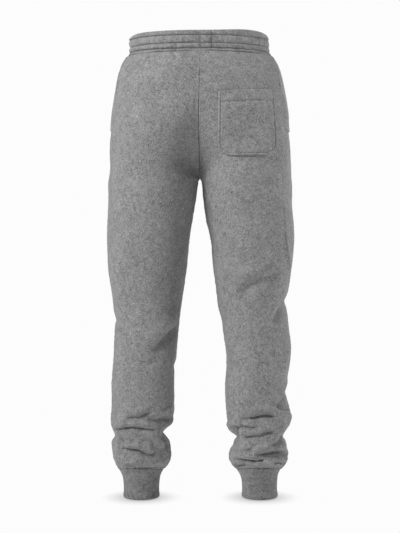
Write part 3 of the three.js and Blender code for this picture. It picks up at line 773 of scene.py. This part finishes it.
def panel_points(side, half):
    """A panel's points in rows, how far across the cloth each lies, and its height."""
    heights = panel_heights()
    angles, from_edge = panel_angles(side, half, heights)
    z = heights[:, None] + 0 * angles
    from_band = PANEL_TOP - z
    from_cuff = z - PANEL_FOOT
    lift = edge_lift(side, half, from_edge, z) - rolled(from_band) - turned_in(angles.shape[1])
    lift = lift - (CUFF_ROLL["open"] - CUFF_ROLL["less"] * buried(side, angles)) * rolled(from_cuff)
    place = cut_at(side, angles, z)[0]
    varied = BAND_STITCH["uneven"] * uneven(place * (MIRROR[side], 1, 1), SLOW_WAVES)
    pulled = BAND_STITCH["depth"] * (1 + varied)
    lift = lift - pulled * bell(from_band, BAND_STITCH["below"], BAND_STITCH["width"])
    pucker = uneven(place, FINE_WAVES) * np.exp(-from_edge / SEAM_PUCKER["reach"])
    points = cloth_at(side, angles, z, lift + SEAM_PUCKER["depth"] * pucker)
    return points, run_of(points, 1), z


# %% Making a mesh
def grid_quads(rows, columns, closed=False):
    """Quads between rows of points, with each corner's row and column. Closed in both ways, or open."""
    row, column = np.mgrid[0 : rows - (not closed), 0 : columns - (not closed)]
    corners = [(row, column), (row + 1, column), (row + 1, column + 1), (row, column + 1)]
    at = np.stack([np.stack(corner, -1) for corner in corners], -2).reshape(-1, 4, 2)
    numbers = (at[..., 0] % rows) * columns + at[..., 1] % columns
    return numbers, at


def mesh_object(name, points, quads, corner_uv):
    """A smooth mesh of quads, with a UV map in metres of cloth."""
    mesh = bpy.data.meshes.new(name)
    mesh.from_pydata((points.reshape(-1, 3) * MM).tolist(), [], quads.tolist())
    uv = mesh.uv_layers.new(name="cloth")
    uv.data.foreach_set("uv", (corner_uv.reshape(-1, 2) * MM).ravel())
    mesh.shade_smooth()
    return added(name, mesh)


def sheet_object(name, points, across, along, flip):
    """A mesh from rows of points, with the cloth's own width and length as its UV map."""
    quads, at = grid_quads(*points.shape[:2])
    spots = np.stack([across, along], -1)[at[..., 0], at[..., 1]]
    if flip:
        quads, spots = quads[:, ::-1], spots[:, ::-1]
    return mesh_object(name, points, quads, spots)


def ring_object(name, points):
    """A closed ring: each row of points goes round it, and the rows go round its section."""
    rows, columns = points.shape[:2]
    quads, at = grid_quads(rows, columns, closed=True)
    round_step = np.linalg.norm(np.diff(points[0], axis=0), axis=-1).mean()
    depth = run_of(np.concatenate([points[:, 0], points[:1, 0]]), 0)
    spots = np.stack([at[..., 1] * round_step, depth[at[..., 0]]], -1)
    return mesh_object(name, points, quads, spots)


def settle(piece):
    """Replace a piece's mesh by what its modifiers make of it."""
    graph = bpy.context.evaluated_depsgraph_get()
    made = bpy.data.meshes.new_from_object(piece.evaluated_get(graph))
    piece.modifiers.clear()
    piece.data = made
    return piece


def thicken(piece):
    """Give a sheet the thickness of the fleece, inwards."""
    wall = piece.modifiers.new("cloth", "SOLIDIFY")
    wall.thickness = CLOTH * MM
    wall.offset = -1
    wall.use_even_offset = False
    return settle(piece)


def triangle_count(piece):
    return sum(len(face.vertices) - 2 for face in piece.data.polygons)


def keep(node, piece):
    """Keep a finished piece under the name of the node that it replaces."""
    pieces[node] = piece
    print(node, triangle_count(piece), "triangles")


def keep_sheet(node, points, across, z, flip):
    """Make a sheet from rows of points, give it its thickness and keep it."""
    keep(node, thicken(sheet_object(f"{node}_cloth", points, across, -z, flip)))


# %% Panels
pieces = {}
for side in MIRROR:
    for half in ("back", "front"):
        keep_sheet(f"{half}_{side}", *panel_points(side, half), side == "right")

# %% [markdown]
# ## Waistband
#
# The waistband is a casing of the same fleece round a wide elastic, sewn through twice, so it
# stands in three soft rolls. It is one closed ring: a section made of three half ovals outside
# and a flat inner side, carried round an oval. The elastic draws the casing up, so fine uneven
# gathers cross the rolls and die away in the channels between them.

# %% Waistband
BAND = dict(x=1.5, half_width=146.5, half_depth=101, steps=520, groove=-1.6, inner=-4.2)
CHANNELS = (12.0, -4.5)  # the heights of the two lines of sewing
BAND_ROLLS = table(
    "top foot bulge",
    (BAND_TOP, CHANNELS[0], 4.8),
    (CHANNELS[0], CHANNELS[1], 5.4),
    (CHANNELS[1], BAND_FOOT, 6.0),
)
ROLL_STEPS = 11
ROLL_FULLNESS = 0.7
BAND_FOOT_FOLD = [(0, BAND["groove"]), (0.3, -2.4)]  # height and distance out at its folded edges
BAND_TOP_FOLD = [(-1.3, -3.7), (-0.3, -2.4)]
BAND_INSIDE = dict(above_foot=2, below_top=3, steps=9, full=0.3)
BAND_LEAN = dict(above=10, all=1.6, right=4.2, at=-104, reach=55)  # how its upper edge stands up
BAND_DROP = dict(left=5, right=9, end=150, sudden=14)  # and how it falls off at the sides
BAND_GATHER = dict(depth=0.75, upright=0.24, quick=0.75, fine=0.5, slow=0.25)
BAND_JOINS = dict(places=(0, -24), depth=2.2, width=1.5)  # where the elastic's ends are sewn


def band_profile():
    """Height, distance out and how full the roll is, round the waistband's section."""
    spots = []
    for roll in BAND_ROLLS:
        middle, half = (roll["top"] + roll["foot"]) / 2, (roll["top"] - roll["foot"]) / 2
        for t in np.linspace(0, math.pi, ROLL_STEPS)[:-1]:
            full = math.sin(t)
            out = BAND["groove"] + roll["bulge"] * full**ROLL_FULLNESS
            spots.append((middle + half * math.cos(t), out, full))
    spots += [(BAND_FOOT + up, out, 0) for up, out in BAND_FOOT_FOLD]
    first, last = BAND_FOOT + BAND_INSIDE["above_foot"], BAND_TOP - BAND_INSIDE["below_top"]
    heights = np.linspace(first, last, BAND_INSIDE["steps"])
    spots += [(z, BAND["inner"], BAND_INSIDE["full"]) for z in heights]
    spots += [(BAND_TOP + up, out, 0) for up, out in BAND_TOP_FOLD]
    return np.array(spots)


def band_lean(x):
    """How much higher the band's upper edge stands: most at the right, and less at the sides."""
    hump = BAND_LEAN["right"] * bell(x, BAND_LEAN["at"], BAND_LEAN["reach"])
    drop = np.where(x > 0, BAND_DROP["left"], BAND_DROP["right"])
    return BAND_LEAN["all"] + hump - drop * (x / BAND_DROP["end"]) ** BAND_DROP["sudden"]


def band_points():
    """The waistband's points: each row goes round it, and the rows go round its section."""
    z, out, full = (column[:, None] for column in band_profile().T)
    a = np.linspace(0, TURN, BAND["steps"], endpoint=False)[None, :]
    oval = stacked(BAND["half_width"] * np.cos(a), BAND["half_depth"] * np.sin(a), z)
    level = oval * (1, 1, BAND_GATHER["upright"])
    drawn = BAND_GATHER["quick"] * uneven(level, QUICK_WAVES)
    drawn = drawn + BAND_GATHER["fine"] * uneven(level, FINE_WAVES)
    swell = out + BAND_GATHER["depth"] * full * drawn + BAND_GATHER["slow"] * uneven(oval, SLOW_WAVES)
    behind = np.sin(a) > 0
    for x in BAND_JOINS["places"]:
        near = bell(oval[..., 0] + BAND["x"], x, BAND_JOINS["width"]) * behind
        swell = swell - BAND_JOINS["depth"] * near * full
    x = BAND["x"] + (BAND["half_width"] + swell) * np.cos(a)
    y = (BAND["half_depth"] + swell) * np.sin(a)
    return stacked(x, y, z + band_lean(x) * smooth(BAND_LEAN["above"], BAND_TOP, z))


keep("waistband", ring_object("waistband_cloth", band_points()))

# %% [markdown]
# ## Cuffs
#
# Each cuff is a band of rib knit, folded double, so it is thick and its lower edge is a soft
# fold. It flares up to the leg that is eased on to it. The ribs are so fine that they barely
# show: a quarter of a millimetre deep, and a little over two millimetres from rib to rib.

# %% Cuffs
CUFF = dict(x=126, wall=3, deeper=4, rows=46, radius=40, uneven=0.45)
RIBS = dict(count=104, steps=5, depth=0.26, inside=0.5, round=0.8)
CUFF_LIP = (0.9, -1.9)  # from the lower edge to the first point inside
CUFF_SHIFT = {"left": -0.8, "right": 1.8}  # how far the foot of a cuff leans out
CUFF_PROFILE = [  # height and distance out
    (CUFF_TOP, 46.2),
    (-908.2, 46.3),
    (-912, 43.8),
    (-918, 40.9),
    (-925, 38.9),
    (-934, 37.7),
    (-946, 37.1),
    (-954, 37.6),
    (-960, 38.6),
    (-963.9, 37.9),
    (CUFF_FOOT, 35.9),
]


def cuff_points(side):
    """A cuff's points: each row goes round it, and the rows go down its outside and up its inside."""
    outside = smooth_line(CUFF_PROFILE, CUFF["rows"])
    inside = outside[::-3] - (0, CUFF["wall"])
    inside[0] = outside[-1] + CUFF_LIP
    profile = np.concatenate([outside, inside])
    ribbed = np.concatenate([np.ones(len(outside)), RIBS["inside"] * np.ones(len(inside))])[:, None]
    z, out = (column[:, None] for column in profile.T)
    a = np.linspace(0, TURN, RIBS["count"] * RIBS["steps"], endpoint=False)[None, :]
    out = out + RIBS["depth"] * ribbed * np.abs(np.sin(a * RIBS["count"] / 2)) ** RIBS["round"]
    even = stacked(MIRROR[side] * CUFF["x"] + CUFF["radius"] * np.cos(a), CUFF["radius"] * np.sin(a), z)
    out = out + CUFF["uneven"] * uneven(even, SLOW_WAVES) * smooth(CUFF_FOOT, CUFF_FOOT + 20, z)
    middle = MIRROR[side] * (CUFF["x"] + CUFF_SHIFT[side] * smooth(CUFF_TOP, CUFF_TOP - 25, z))
    deep = (out + CUFF["deeper"]) * np.sin(a)
    slope = CUFF_SLOPE * smooth(CUFF_LEVEL, CUFF_TOP, z)
    return stacked(middle + out * np.cos(a), CUFF_MIDDLE_Y + deep, z + slope * deep)


for side in MIRROR:
    keep(f"cuff_{side}", ring_object(f"cuff_{side}_rib", cuff_points(side)))

# %% [markdown]
# ## Patch pocket
#
# The pocket lies on the right seat. It is cut with round lower corners, its edges are turned
# under and it is sewn on 4 mm inside them, so a low welt runs round it. Its top is a hem about
# 22 mm deep. It follows the seat because each of its points is a place on the panel, moved out.

# %% Patch pocket
POCKET = dict(inner=39.5, outer_top=151.5, outer_foot=160)  # distances from the centre seam
POCKET.update(top_inner=-107.5, top_outer=-102, foot=-238, corner=28)  # heights and the corners
POCKET_STITCH = 3.8
POCKET_HEM = 21.5
POCKET_LIFT = 1.3 + CLOTH
POCKET_STEP = 1.1
POCKET_ROLL = dict(sides=2.3, top=1.2)  # how far its edges turn in
POCKET_WELT = dict(by=0.6, low=0.5, at=1.9, width=1.2)  # low is how much more it has at the foot
POCKET_GROOVE = dict(by=2.2, low=0.9, width=1.2)
POCKET_LOW = (45, 20)  # heights above the foot between which that begins
HEM = dict(thick=0.6, groove=1.5, width=1.5)
POCKET_GAPE = dict(by=1.2, reach=7)  # how far its mouth stands open
POCKET_UNEVEN = 0.18
HALVINGS = 26  # steps in the search for a place's angle


def pocket_edges(t):
    """The pocket's inner and outer edge at a share t of the way down."""
    height = POCKET["top_inner"] + (POCKET["foot"] - POCKET["top_inner"]) * t
    into_corner = np.clip((POCKET["foot"] + POCKET["corner"] - height) / POCKET["corner"], 0, 1)
    cut = POCKET["corner"] * (1 - np.sqrt(1 - into_corner**2))
    outer = POCKET["outer_top"] + (POCKET["outer_foot"] - POCKET["outer_top"]) * t
    return POCKET["inner"] + cut, outer - cut


def pocket_place(u, t):
    """A place on the pocket, seen from behind: its distance from the centre seam and its height."""
    inner, outer = pocket_edges(t)
    x = inner + (outer - inner) * u
    share = (x - POCKET["inner"]) / (POCKET["outer_top"] - POCKET["inner"])
    top = POCKET["top_inner"] + (POCKET["top_outer"] - POCKET["top_inner"]) * share
    return x, top + (POCKET["foot"] - top) * t


def on_seat(x, z, lift):
    """Places on the right back, each x from the middle plane and lifted off the panel."""
    low = np.full_like(x, 0.0)
    high = np.full_like(x, 180.0)
    for _ in range(HALVINGS):
        middle = (low + high) / 2
        further = cut_at("right", middle, z)[0][..., 0] > x
        low = np.where(further, middle, low)
        high = np.where(further, high, middle)
    return cloth_at("right", (low + high) / 2, z, lift)


def distance_to_line(x, z, line_x, line_z):
    """The distance of each place from the nearest point of a line."""
    flat = np.hypot(x.reshape(-1, 1) - line_x, z.reshape(-1, 1) - line_z)
    return flat.min(axis=1).reshape(x.shape)


def pocket_outline(inset, steps=240):
    """The sides and foot of the pocket, drawn in by a distance, from one top corner to the other."""
    t = 1 - (np.linspace(1, 0, steps) ** 2)
    down_x, down_z = pocket_place(0 * t, t)
    across = np.linspace(0, 1, steps // 2)[1:-1]
    foot_x, foot_z = pocket_place(across, 0 * across + 1)
    up_x, up_z = pocket_place(0 * t + 1, t[::-1])
    x, z = np.concatenate([down_x, foot_x, up_x]), np.concatenate([down_z, foot_z, up_z])
    slope = unit(stacked(np.gradient(x), np.gradient(z)))
    return x - inset * slope[:, 1], z + inset * slope[:, 0]


def low_share(z):
    """1 at the pocket's foot and lower corners, where it is sewn down harder, and 0 above them."""
    return smooth(POCKET["foot"] + POCKET_LOW[0], POCKET["foot"] + POCKET_LOW[1], z)


def pocket_unevenness(x, z):
    return POCKET_UNEVEN * uneven(stacked(-x, 0, z), QUICK_WAVES)


def pocket_points():
    """The pocket's points in rows, and where each lies from behind."""
    width = POCKET["outer_top"] - POCKET["inner"]
    height = POCKET["top_inner"] - POCKET["foot"]
    across = finer_near(width, POCKET_STEP, FINE_STEP, (0, POCKET_STITCH, width - POCKET_STITCH, width))
    down = finer_near(height, POCKET_STEP, FINE_STEP, (0, POCKET_HEM, height - POCKET_STITCH, height))
    u, t = np.meshgrid(across / width, down / height)
    x, z = pocket_place(u, t)
    edge = distance_to_line(x, z, *pocket_outline(0))
    _, top = pocket_place(u, 0 * t)
    below = top - z
    low = low_share(z)
    lift = POCKET_LIFT - POCKET_ROLL["sides"] * rolled(edge) - POCKET_ROLL["top"] * rolled(below)
    welt = POCKET_WELT["by"] + POCKET_WELT["low"] * low
    lift = lift + welt * bell(edge, POCKET_WELT["at"], POCKET_WELT["width"])
    groove = POCKET_GROOVE["by"] + POCKET_GROOVE["low"] * low
    lift = lift - groove * bell(edge, POCKET_STITCH, POCKET_GROOVE["width"])
    lift = lift + HEM["thick"] * smooth(POCKET_HEM + HEM["width"], POCKET_HEM - HEM["width"], below)
    lift = lift - HEM["groove"] * bell(below, POCKET_HEM, HEM["width"])
    lift = lift + POCKET_GAPE["by"] * np.exp(-below / POCKET_GAPE["reach"]) * np.sin(math.pi * u)
    lift = lift + pocket_unevenness(x, z)
    return on_seat(x, z, lift), x, z


keep_sheet("back_pocket", *pocket_points(), True)

# %% [markdown]
# ## Side pockets
#
# The mouth of each side pocket lies along the side seam. Its edge is turned and sewn down, which
# makes a raised strip just in front of the seam. From behind it only shows as a second line
# outside the seam.

# %% Side pockets
MOUTH_STITCH = 7
MOUTH_FLAT = {"left": 1.6, "right": 0.2}  # how much flatter its foot is pressed
MOUTH_FLAT_REACH = 45
MOUTH_EDGE = dict(roll=1.1, groove=0.6, width=1.2, gap=0.3)


def front_angles(side, heights, distances):
    """Angles on the front panel at distances from its side seam."""
    tried, length = along_cloth(side, heights, column_at(SECTIONS[side], "seam", heights), -90)
    return np.array([np.interp(distances, length[k], tried[k]) for k in range(len(heights))])


def mouth_points(side):
    """A mouth's points in rows, how far each lies from the side seam, and its height."""
    tall = MOUTH["top"] - MOUTH["foot"]
    wide = MOUTH_WIDTH[side]
    heights = MOUTH["top"] - finer_near(tall, MOUTH["step"], FINE_STEP, (0, tall))
    distances = finer_near(wide, MOUTH["step"], FINE_STEP, (0, wide - MOUTH_STITCH, wide))
    distances = EDGE_STEPS[0] + distances
    angles = front_angles(side, heights, distances)
    z = heights[:, None] + 0 * angles
    away = distances[None, :] + 0 * angles
    edge = np.minimum.reduce([wide - away + MOUTH_EDGE["gap"], MOUTH["top"] - z, z - MOUTH["foot"]])
    lift = MOUTH["lift"] - MOUTH_EDGE["roll"] * rolled(np.maximum(edge, 0)) - SIDE_ROLL * rolled(away)
    lift = lift - MOUTH_FLAT[side] * smooth(MOUTH["foot"] + MOUTH_FLAT_REACH, MOUTH["foot"], z)
    lift = lift - MOUTH_EDGE["groove"] * bell(away - wide, -MOUTH_STITCH, MOUTH_EDGE["width"])
    return cloth_at(side, angles, z, lift), away, z


for side in MIRROR:
    keep_sheet(f"pocket_mouth_{side}", *mouth_points(side), side == "left")

# %% [markdown]
# ## Stitches
#
# Every seam line is a row of short raised stitches a few millimetres long. Geometry Nodes lay
# them: a path becomes a curve, the curve is cut into even steps, and a small rounded bead of
# thread is set on each step, turned along the path. The result is made one plain mesh.

# %% Stitch paths
SUNK = dict(pocket=1.4, pocket_low=1.0, hem=0.6, mouth=0.3, join=0.5)  # how deep the thread lies
ON_BAND = dict(lift=-0.7, sunk=0)
ON_CUFF = dict(lift=0.1, sunk=1.2)
CUFF_STITCH = 3.2  # height above the cuff seam
CHANNEL_LIFT = 0.2
PATH_POINTS = dict(hem=60, round_leg=260, round_waist=300, join=60, mouth=70)
PATH_ENDS = dict(pocket=3, join=1, mouth=4)  # how far short of an edge a line of sewing ends
HEM_ENDS = (0.03, 0.97)  # as shares of the pocket's width
FULL_ROUND = (-179.6, 179.6)


def facing(points):
    """Directions straight out from the middle of the waist or of a leg, for points on the cloth."""
    centre_x = np.where(points[:, 2] < CROTCH, np.sign(points[:, 0]) * CUFF["x"], 0)
    return unit(stacked(points[:, 0] - centre_x, points[:, 1], 0))


def pocket_stitches():
    x, z = pocket_outline(POCKET_STITCH)
    held = z < POCKET["top_inner"] - PATH_ENDS["pocket"]
    x, z = x[held], z[held]
    groove = POCKET_LIFT - SUNK["pocket"] - SUNK["pocket_low"] * low_share(z) + pocket_unevenness(x, z)
    return on_seat(x, z, groove)


def hem_stitches():
    u = np.linspace(*HEM_ENDS, PATH_POINTS["hem"])
    x, z = pocket_place(u, 0 * u)
    z = z - POCKET_HEM
    groove = POCKET_LIFT - SUNK["hem"] + pocket_unevenness(x, z)
    return on_seat(x, z, groove)


def level_stitches(side, z, lift, sunk):
    angles = np.linspace(*FULL_ROUND, PATH_POINTS["round_leg"])
    return cloth_at(side, angles, np.full_like(angles, z), lift - sunk * buried(side, angles))


def band_stitches(z):
    a = np.linspace(0, TURN, PATH_POINTS["round_waist"])
    out = BAND["groove"] + CHANNEL_LIFT
    x = BAND["x"] + (BAND["half_width"] + out) * np.cos(a)
    return stacked(x, (BAND["half_depth"] + out) * np.sin(a), z)


def join_stitches(x):
    """Stitches down the three rolls at the back of the band."""
    short = PATH_ENDS["join"]
    heights = np.linspace(BAND_TOP - short, BAND_FOOT + short, PATH_POINTS["join"])
    profile = band_profile()[: len(BAND_ROLLS) * (ROLL_STEPS - 1) + 1]
    out = np.interp(-heights, -profile[:, 0], profile[:, 1])
    full = np.interp(-heights, -profile[:, 0], profile[:, 2])
    out = out - (BAND_JOINS["depth"] - SUNK["join"]) * full
    a = math.acos((x - BAND["x"]) / BAND["half_width"])
    across = BAND["x"] + (BAND["half_width"] + out) * math.cos(a)
    return stacked(across, (BAND["half_depth"] + out) * math.sin(a), heights)


def mouth_stitches(side):
    short = PATH_ENDS["mouth"]
    heights = np.linspace(MOUTH["top"] - short, MOUTH["foot"] + short, PATH_POINTS["mouth"])
    angles = front_angles(side, heights, np.array([MOUTH_WIDTH[side] - MOUTH_STITCH]))[:, 0]
    return cloth_at(side, angles, heights, MOUTH["lift"] - SUNK["mouth"] + 0 * heights)


stitch_paths = [pocket_stitches(), hem_stitches()]
stitch_paths += [band_stitches(z) for z in CHANNELS]
stitch_paths += [join_stitches(x) for x in BAND_JOINS["places"]]
for side in MIRROR:
    stitch_paths.append(level_stitches(side, PANEL_TOP - BAND_STITCH["below"], **ON_BAND))
    stitch_paths.append(level_stitches(side, PANEL_FOOT + CUFF_STITCH, **ON_CUFF))
    stitch_paths.append(mouth_stitches(side))


def path_object(name, paths):
    """One object of loose edges: the paths that the stitches follow."""
    points = np.concatenate(paths)
    edges = []
    start = 0
    for path in paths:
        edges += [(start + k, start + k + 1) for k in range(len(path) - 1)]
        start += len(path)
    mesh = bpy.data.meshes.new(name)
    mesh.from_pydata((points * MM).tolist(), edges, [])
    outward = mesh.attributes.new("facing", "FLOAT_VECTOR", "POINT")
    outward.data.foreach_set("vector", facing(points).ravel())
    return added(name, mesh)


# %% Materials
THREAD = dict(grey=0.09, uneven=0.1, scale=900, warp=0.3, rough=0.6)
BRUSHED = {"Roughness": 0.92, "Specular IOR Level": 0.2, "Sheen Roughness": 0.5}
WALES = {"Scale": 300, "Distortion": 0.7, "Detail": 1}  # the columns of the knit
HEATHER = table(  # grains per metre, and how far each moves the grey either way
    "name scale detail warp amount",
    ("fibre", 700, 2, 0.8, 0.75),
    ("fleck", 250, 3, 2.2, 1.25),
    ("clump", 95, 2, 1.2, 0.42),
    ("cloud", 22, 1, 0.0, 0.12),
)
KNITS = table(
    "name grey sheen wale_share bump",
    ("heather fleece", 0.232, 0.14, 0.25, 0.6),
    ("heather rib", 0.19, 0.16, 0.3, 0.45),
)
NAP_HEIGHT = 0.0006


def value_node(tree, operation, first, second):
    """What a math node makes of two numbers or sockets."""
    node = new_node(tree, "ShaderNodeMath", operation=operation)
    for socket, value in zip(node.inputs, (first, second)):
        if isinstance(value, (int, float)):
            socket.default_value = value
        else:
            tree.links.new(value, socket)
    return node.outputs["Value"]


def noise_node(tree, place, scale, detail, warp):
    node = new_node(tree, "ShaderNodeTexNoise", {"Scale": scale, "Detail": detail, "Distortion": warp})
    tree.links.new(place, node.inputs["Vector"])
    return node.outputs["Fac"]


def grey_coat(tree, shade, shader):
    """Make a value the shader's colour."""
    colour = tree.nodes.new("ShaderNodeCombineColor")
    for channel in ("Red", "Green", "Blue"):
        tree.links.new(shade, colour.inputs[channel])
    wire(tree, (colour, "Color", shader, "Base Color"))


def knit_material(name, grey, sheen, wale_share, bump):
    """Heather cloth: mottled by several grains, with the columns of the knit in its relief."""
    material, tree = new_material(name)
    shader = fill(tree.nodes["Principled BSDF"], dict(BRUSHED, **{"Sheen Weight": sheen}))
    texture = tree.nodes.new("ShaderNodeTexCoord")
    mottle = 1.0
    relief = 0.0
    for grain in HEATHER:
        place = texture.outputs["Object"]
        fac = noise_node(tree, place, grain["scale"], grain["detail"], grain["warp"])
        centred = value_node(tree, "SUBTRACT", fac, 0.5)
        moved = value_node(tree, "MULTIPLY", centred, 2 * grain["amount"])
        mottle = value_node(tree, "ADD", moved, mottle)
        if grain["name"] in ("fibre", "fleck"):
            relief = value_node(tree, "ADD", centred, relief)
    columns = new_node(tree, "ShaderNodeTexWave", WALES, bands_direction="X")
    wale = value_node(tree, "MULTIPLY", columns.outputs["Fac"], wale_share)
    relief = value_node(tree, "ADD", relief, wale)
    grey_coat(tree, value_node(tree, "MULTIPLY", mottle, grey), shader)
    nap = new_node(tree, "ShaderNodeBump", {"Strength": bump, "Distance": NAP_HEIGHT})
    tree.links.new(relief, nap.inputs["Height"])
    wire(tree, (texture, "UV", columns, "Vector"), (nap, "Normal", shader, "Normal"))
    return material


def thread_material():
    """Dark thread, a little uneven along its twist."""
    material, tree = new_material("thread")
    shader = fill(tree.nodes["Principled BSDF"], {"Roughness": THREAD["rough"]})
    place = tree.nodes.new("ShaderNodeTexCoord").outputs["Object"]
    twist = noise_node(tree, place, THREAD["scale"], 1, THREAD["warp"])
    shade = value_node(tree, "MULTIPLY_ADD", twist, THREAD["uneven"])
    shade.node.inputs[2].default_value = THREAD["grey"] - THREAD["uneven"] / 2
    grey_coat(tree, shade, shader)
    return material


fleece, rib = (knit_material(**knit) for knit in KNITS)
thread = thread_material()


# %% Stitch nodes
def stitch_tree():
    """A Geometry Nodes tree that lays beads of thread along edges."""
    tree = bpy.data.node_groups.new("stitches", "GeometryNodeTree")
    sockets = tree.interface
    sockets.new_socket("Geometry", in_out="OUTPUT", socket_type="NodeSocketGeometry")
    sockets.new_socket("Geometry", in_out="INPUT", socket_type="NodeSocketGeometry")
    for name in ("Pitch", "Length", "Width"):
        sockets.new_socket(name, in_out="INPUT", socket_type="NodeSocketFloat")
    sockets.new_socket("Material", in_out="INPUT", socket_type="NodeSocketMaterial")
    given = tree.nodes.new("NodeGroupInput")
    made = tree.nodes.new("NodeGroupOutput")
    to_curve = tree.nodes.new("GeometryNodeMeshToCurve")
    steps = new_node(tree, "GeometryNodeResampleCurve", mode="LENGTH")
    bead = new_node(tree, "GeometryNodeMeshUVSphere", {"Segments": 6, "Rings": 4, "Radius": 0.5})
    tangent = tree.nodes.new("GeometryNodeInputTangent")
    along = new_node(tree, "FunctionNodeAlignRotationToVector", axis="X")
    outward = new_node(tree, "GeometryNodeInputNamedAttribute", {"Name": "facing"})
    outward.data_type = "FLOAT_VECTOR"
    up = new_node(tree, "FunctionNodeAlignRotationToVector", axis="Z", pivot_axis="X")
    size = tree.nodes.new("ShaderNodeCombineXYZ")
    lay = tree.nodes.new("GeometryNodeInstanceOnPoints")
    real = tree.nodes.new("GeometryNodeRealizeInstances")
    coat = tree.nodes.new("GeometryNodeSetMaterial")
    wire(
        tree,
        (given, "Geometry", to_curve, "Mesh"),
        (to_curve, "Curve", steps, "Curve"),
        (given, "Pitch", steps, "Length"),
        (steps, "Curve", lay, "Points"),
        (bead, "Mesh", lay, "Instance"),
        (tangent, "Tangent", along, "Vector"),
        (along, "Rotation", up, "Rotation"),
        (outward, "Attribute", up, "Vector"),
        (up, "Rotation", lay, "Rotation"),
        (given, "Length", size, "X"),
        (given, "Width", size, "Y"),
        (given, "Width", size, "Z"),
        (size, "Vector", lay, "Scale"),
        (lay, "Instances", real, "Geometry"),
        (real, "Geometry", coat, "Geometry"),
        (given, "Material", coat, "Material"),
        (coat, "Geometry", made, "Geometry"),
    )
    return tree


STITCH = {"Pitch": 0.0034, "Length": 0.0026, "Width": 0.0012}  # in metres


def stitched(name, paths):
    piece = path_object(name, paths)
    maker = piece.modifiers.new("stitches", "NODES")
    maker.node_group = stitch_tree()
    given = dict(STITCH, Material=thread)
    for item in maker.node_group.interface.items_tree:
        if item.in_out == "INPUT" and item.name in given:
            maker[item.identifier] = given[item.name]
    return settle(piece)


stitches = stitched("stitches", stitch_paths)
print("stitches:", triangle_count(stitches), "triangles")

# %% [markdown]
# ## Putting it together
#
# Each piece replaces its node of the imported model and rides on the one body. The table below
# lists how its cloth was cut: the flat sizes are those of the pattern pieces before they were sewn.

# %% Pieces
CUT = table(  # width and length of each flat piece, and its share of that rectangle
    "node flat share held",
    ("back_left", (0.31, 0.94), 0.75, "hung"),
    ("front_left", (0.33, 0.94), 0.76, "hung"),
    ("back_right", (0.29, 0.94), 0.75, "hung"),
    ("front_right", (0.35, 0.94), 0.77, "hung"),
    ("waistband", (0.82, 0.043), 1, "gathered"),
    ("back_pocket", (0.13, 0.145), 0.97, "hung"),
    ("cuff_left", (0.25, 0.07), 1, "stretched"),
    ("pocket_mouth_left", (0.024, 0.162), 1, "hung"),
    ("cuff_right", (0.25, 0.07), 1, "stretched"),
    ("pocket_mouth_right", (0.05, 0.162), 1, "hung"),
)

for cut in CUT:
    piece = pieces[cut["node"]]
    ribbed = cut["node"].startswith("cuff")
    piece.data.materials.clear()
    piece.data.materials.append(rib if ribbed else fleece)
    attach(piece, "root")
    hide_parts(cut["node"])
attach(stitches, "root")
print("triangles:", sum(triangle_count(piece) for piece in [*pieces.values(), stitches]))
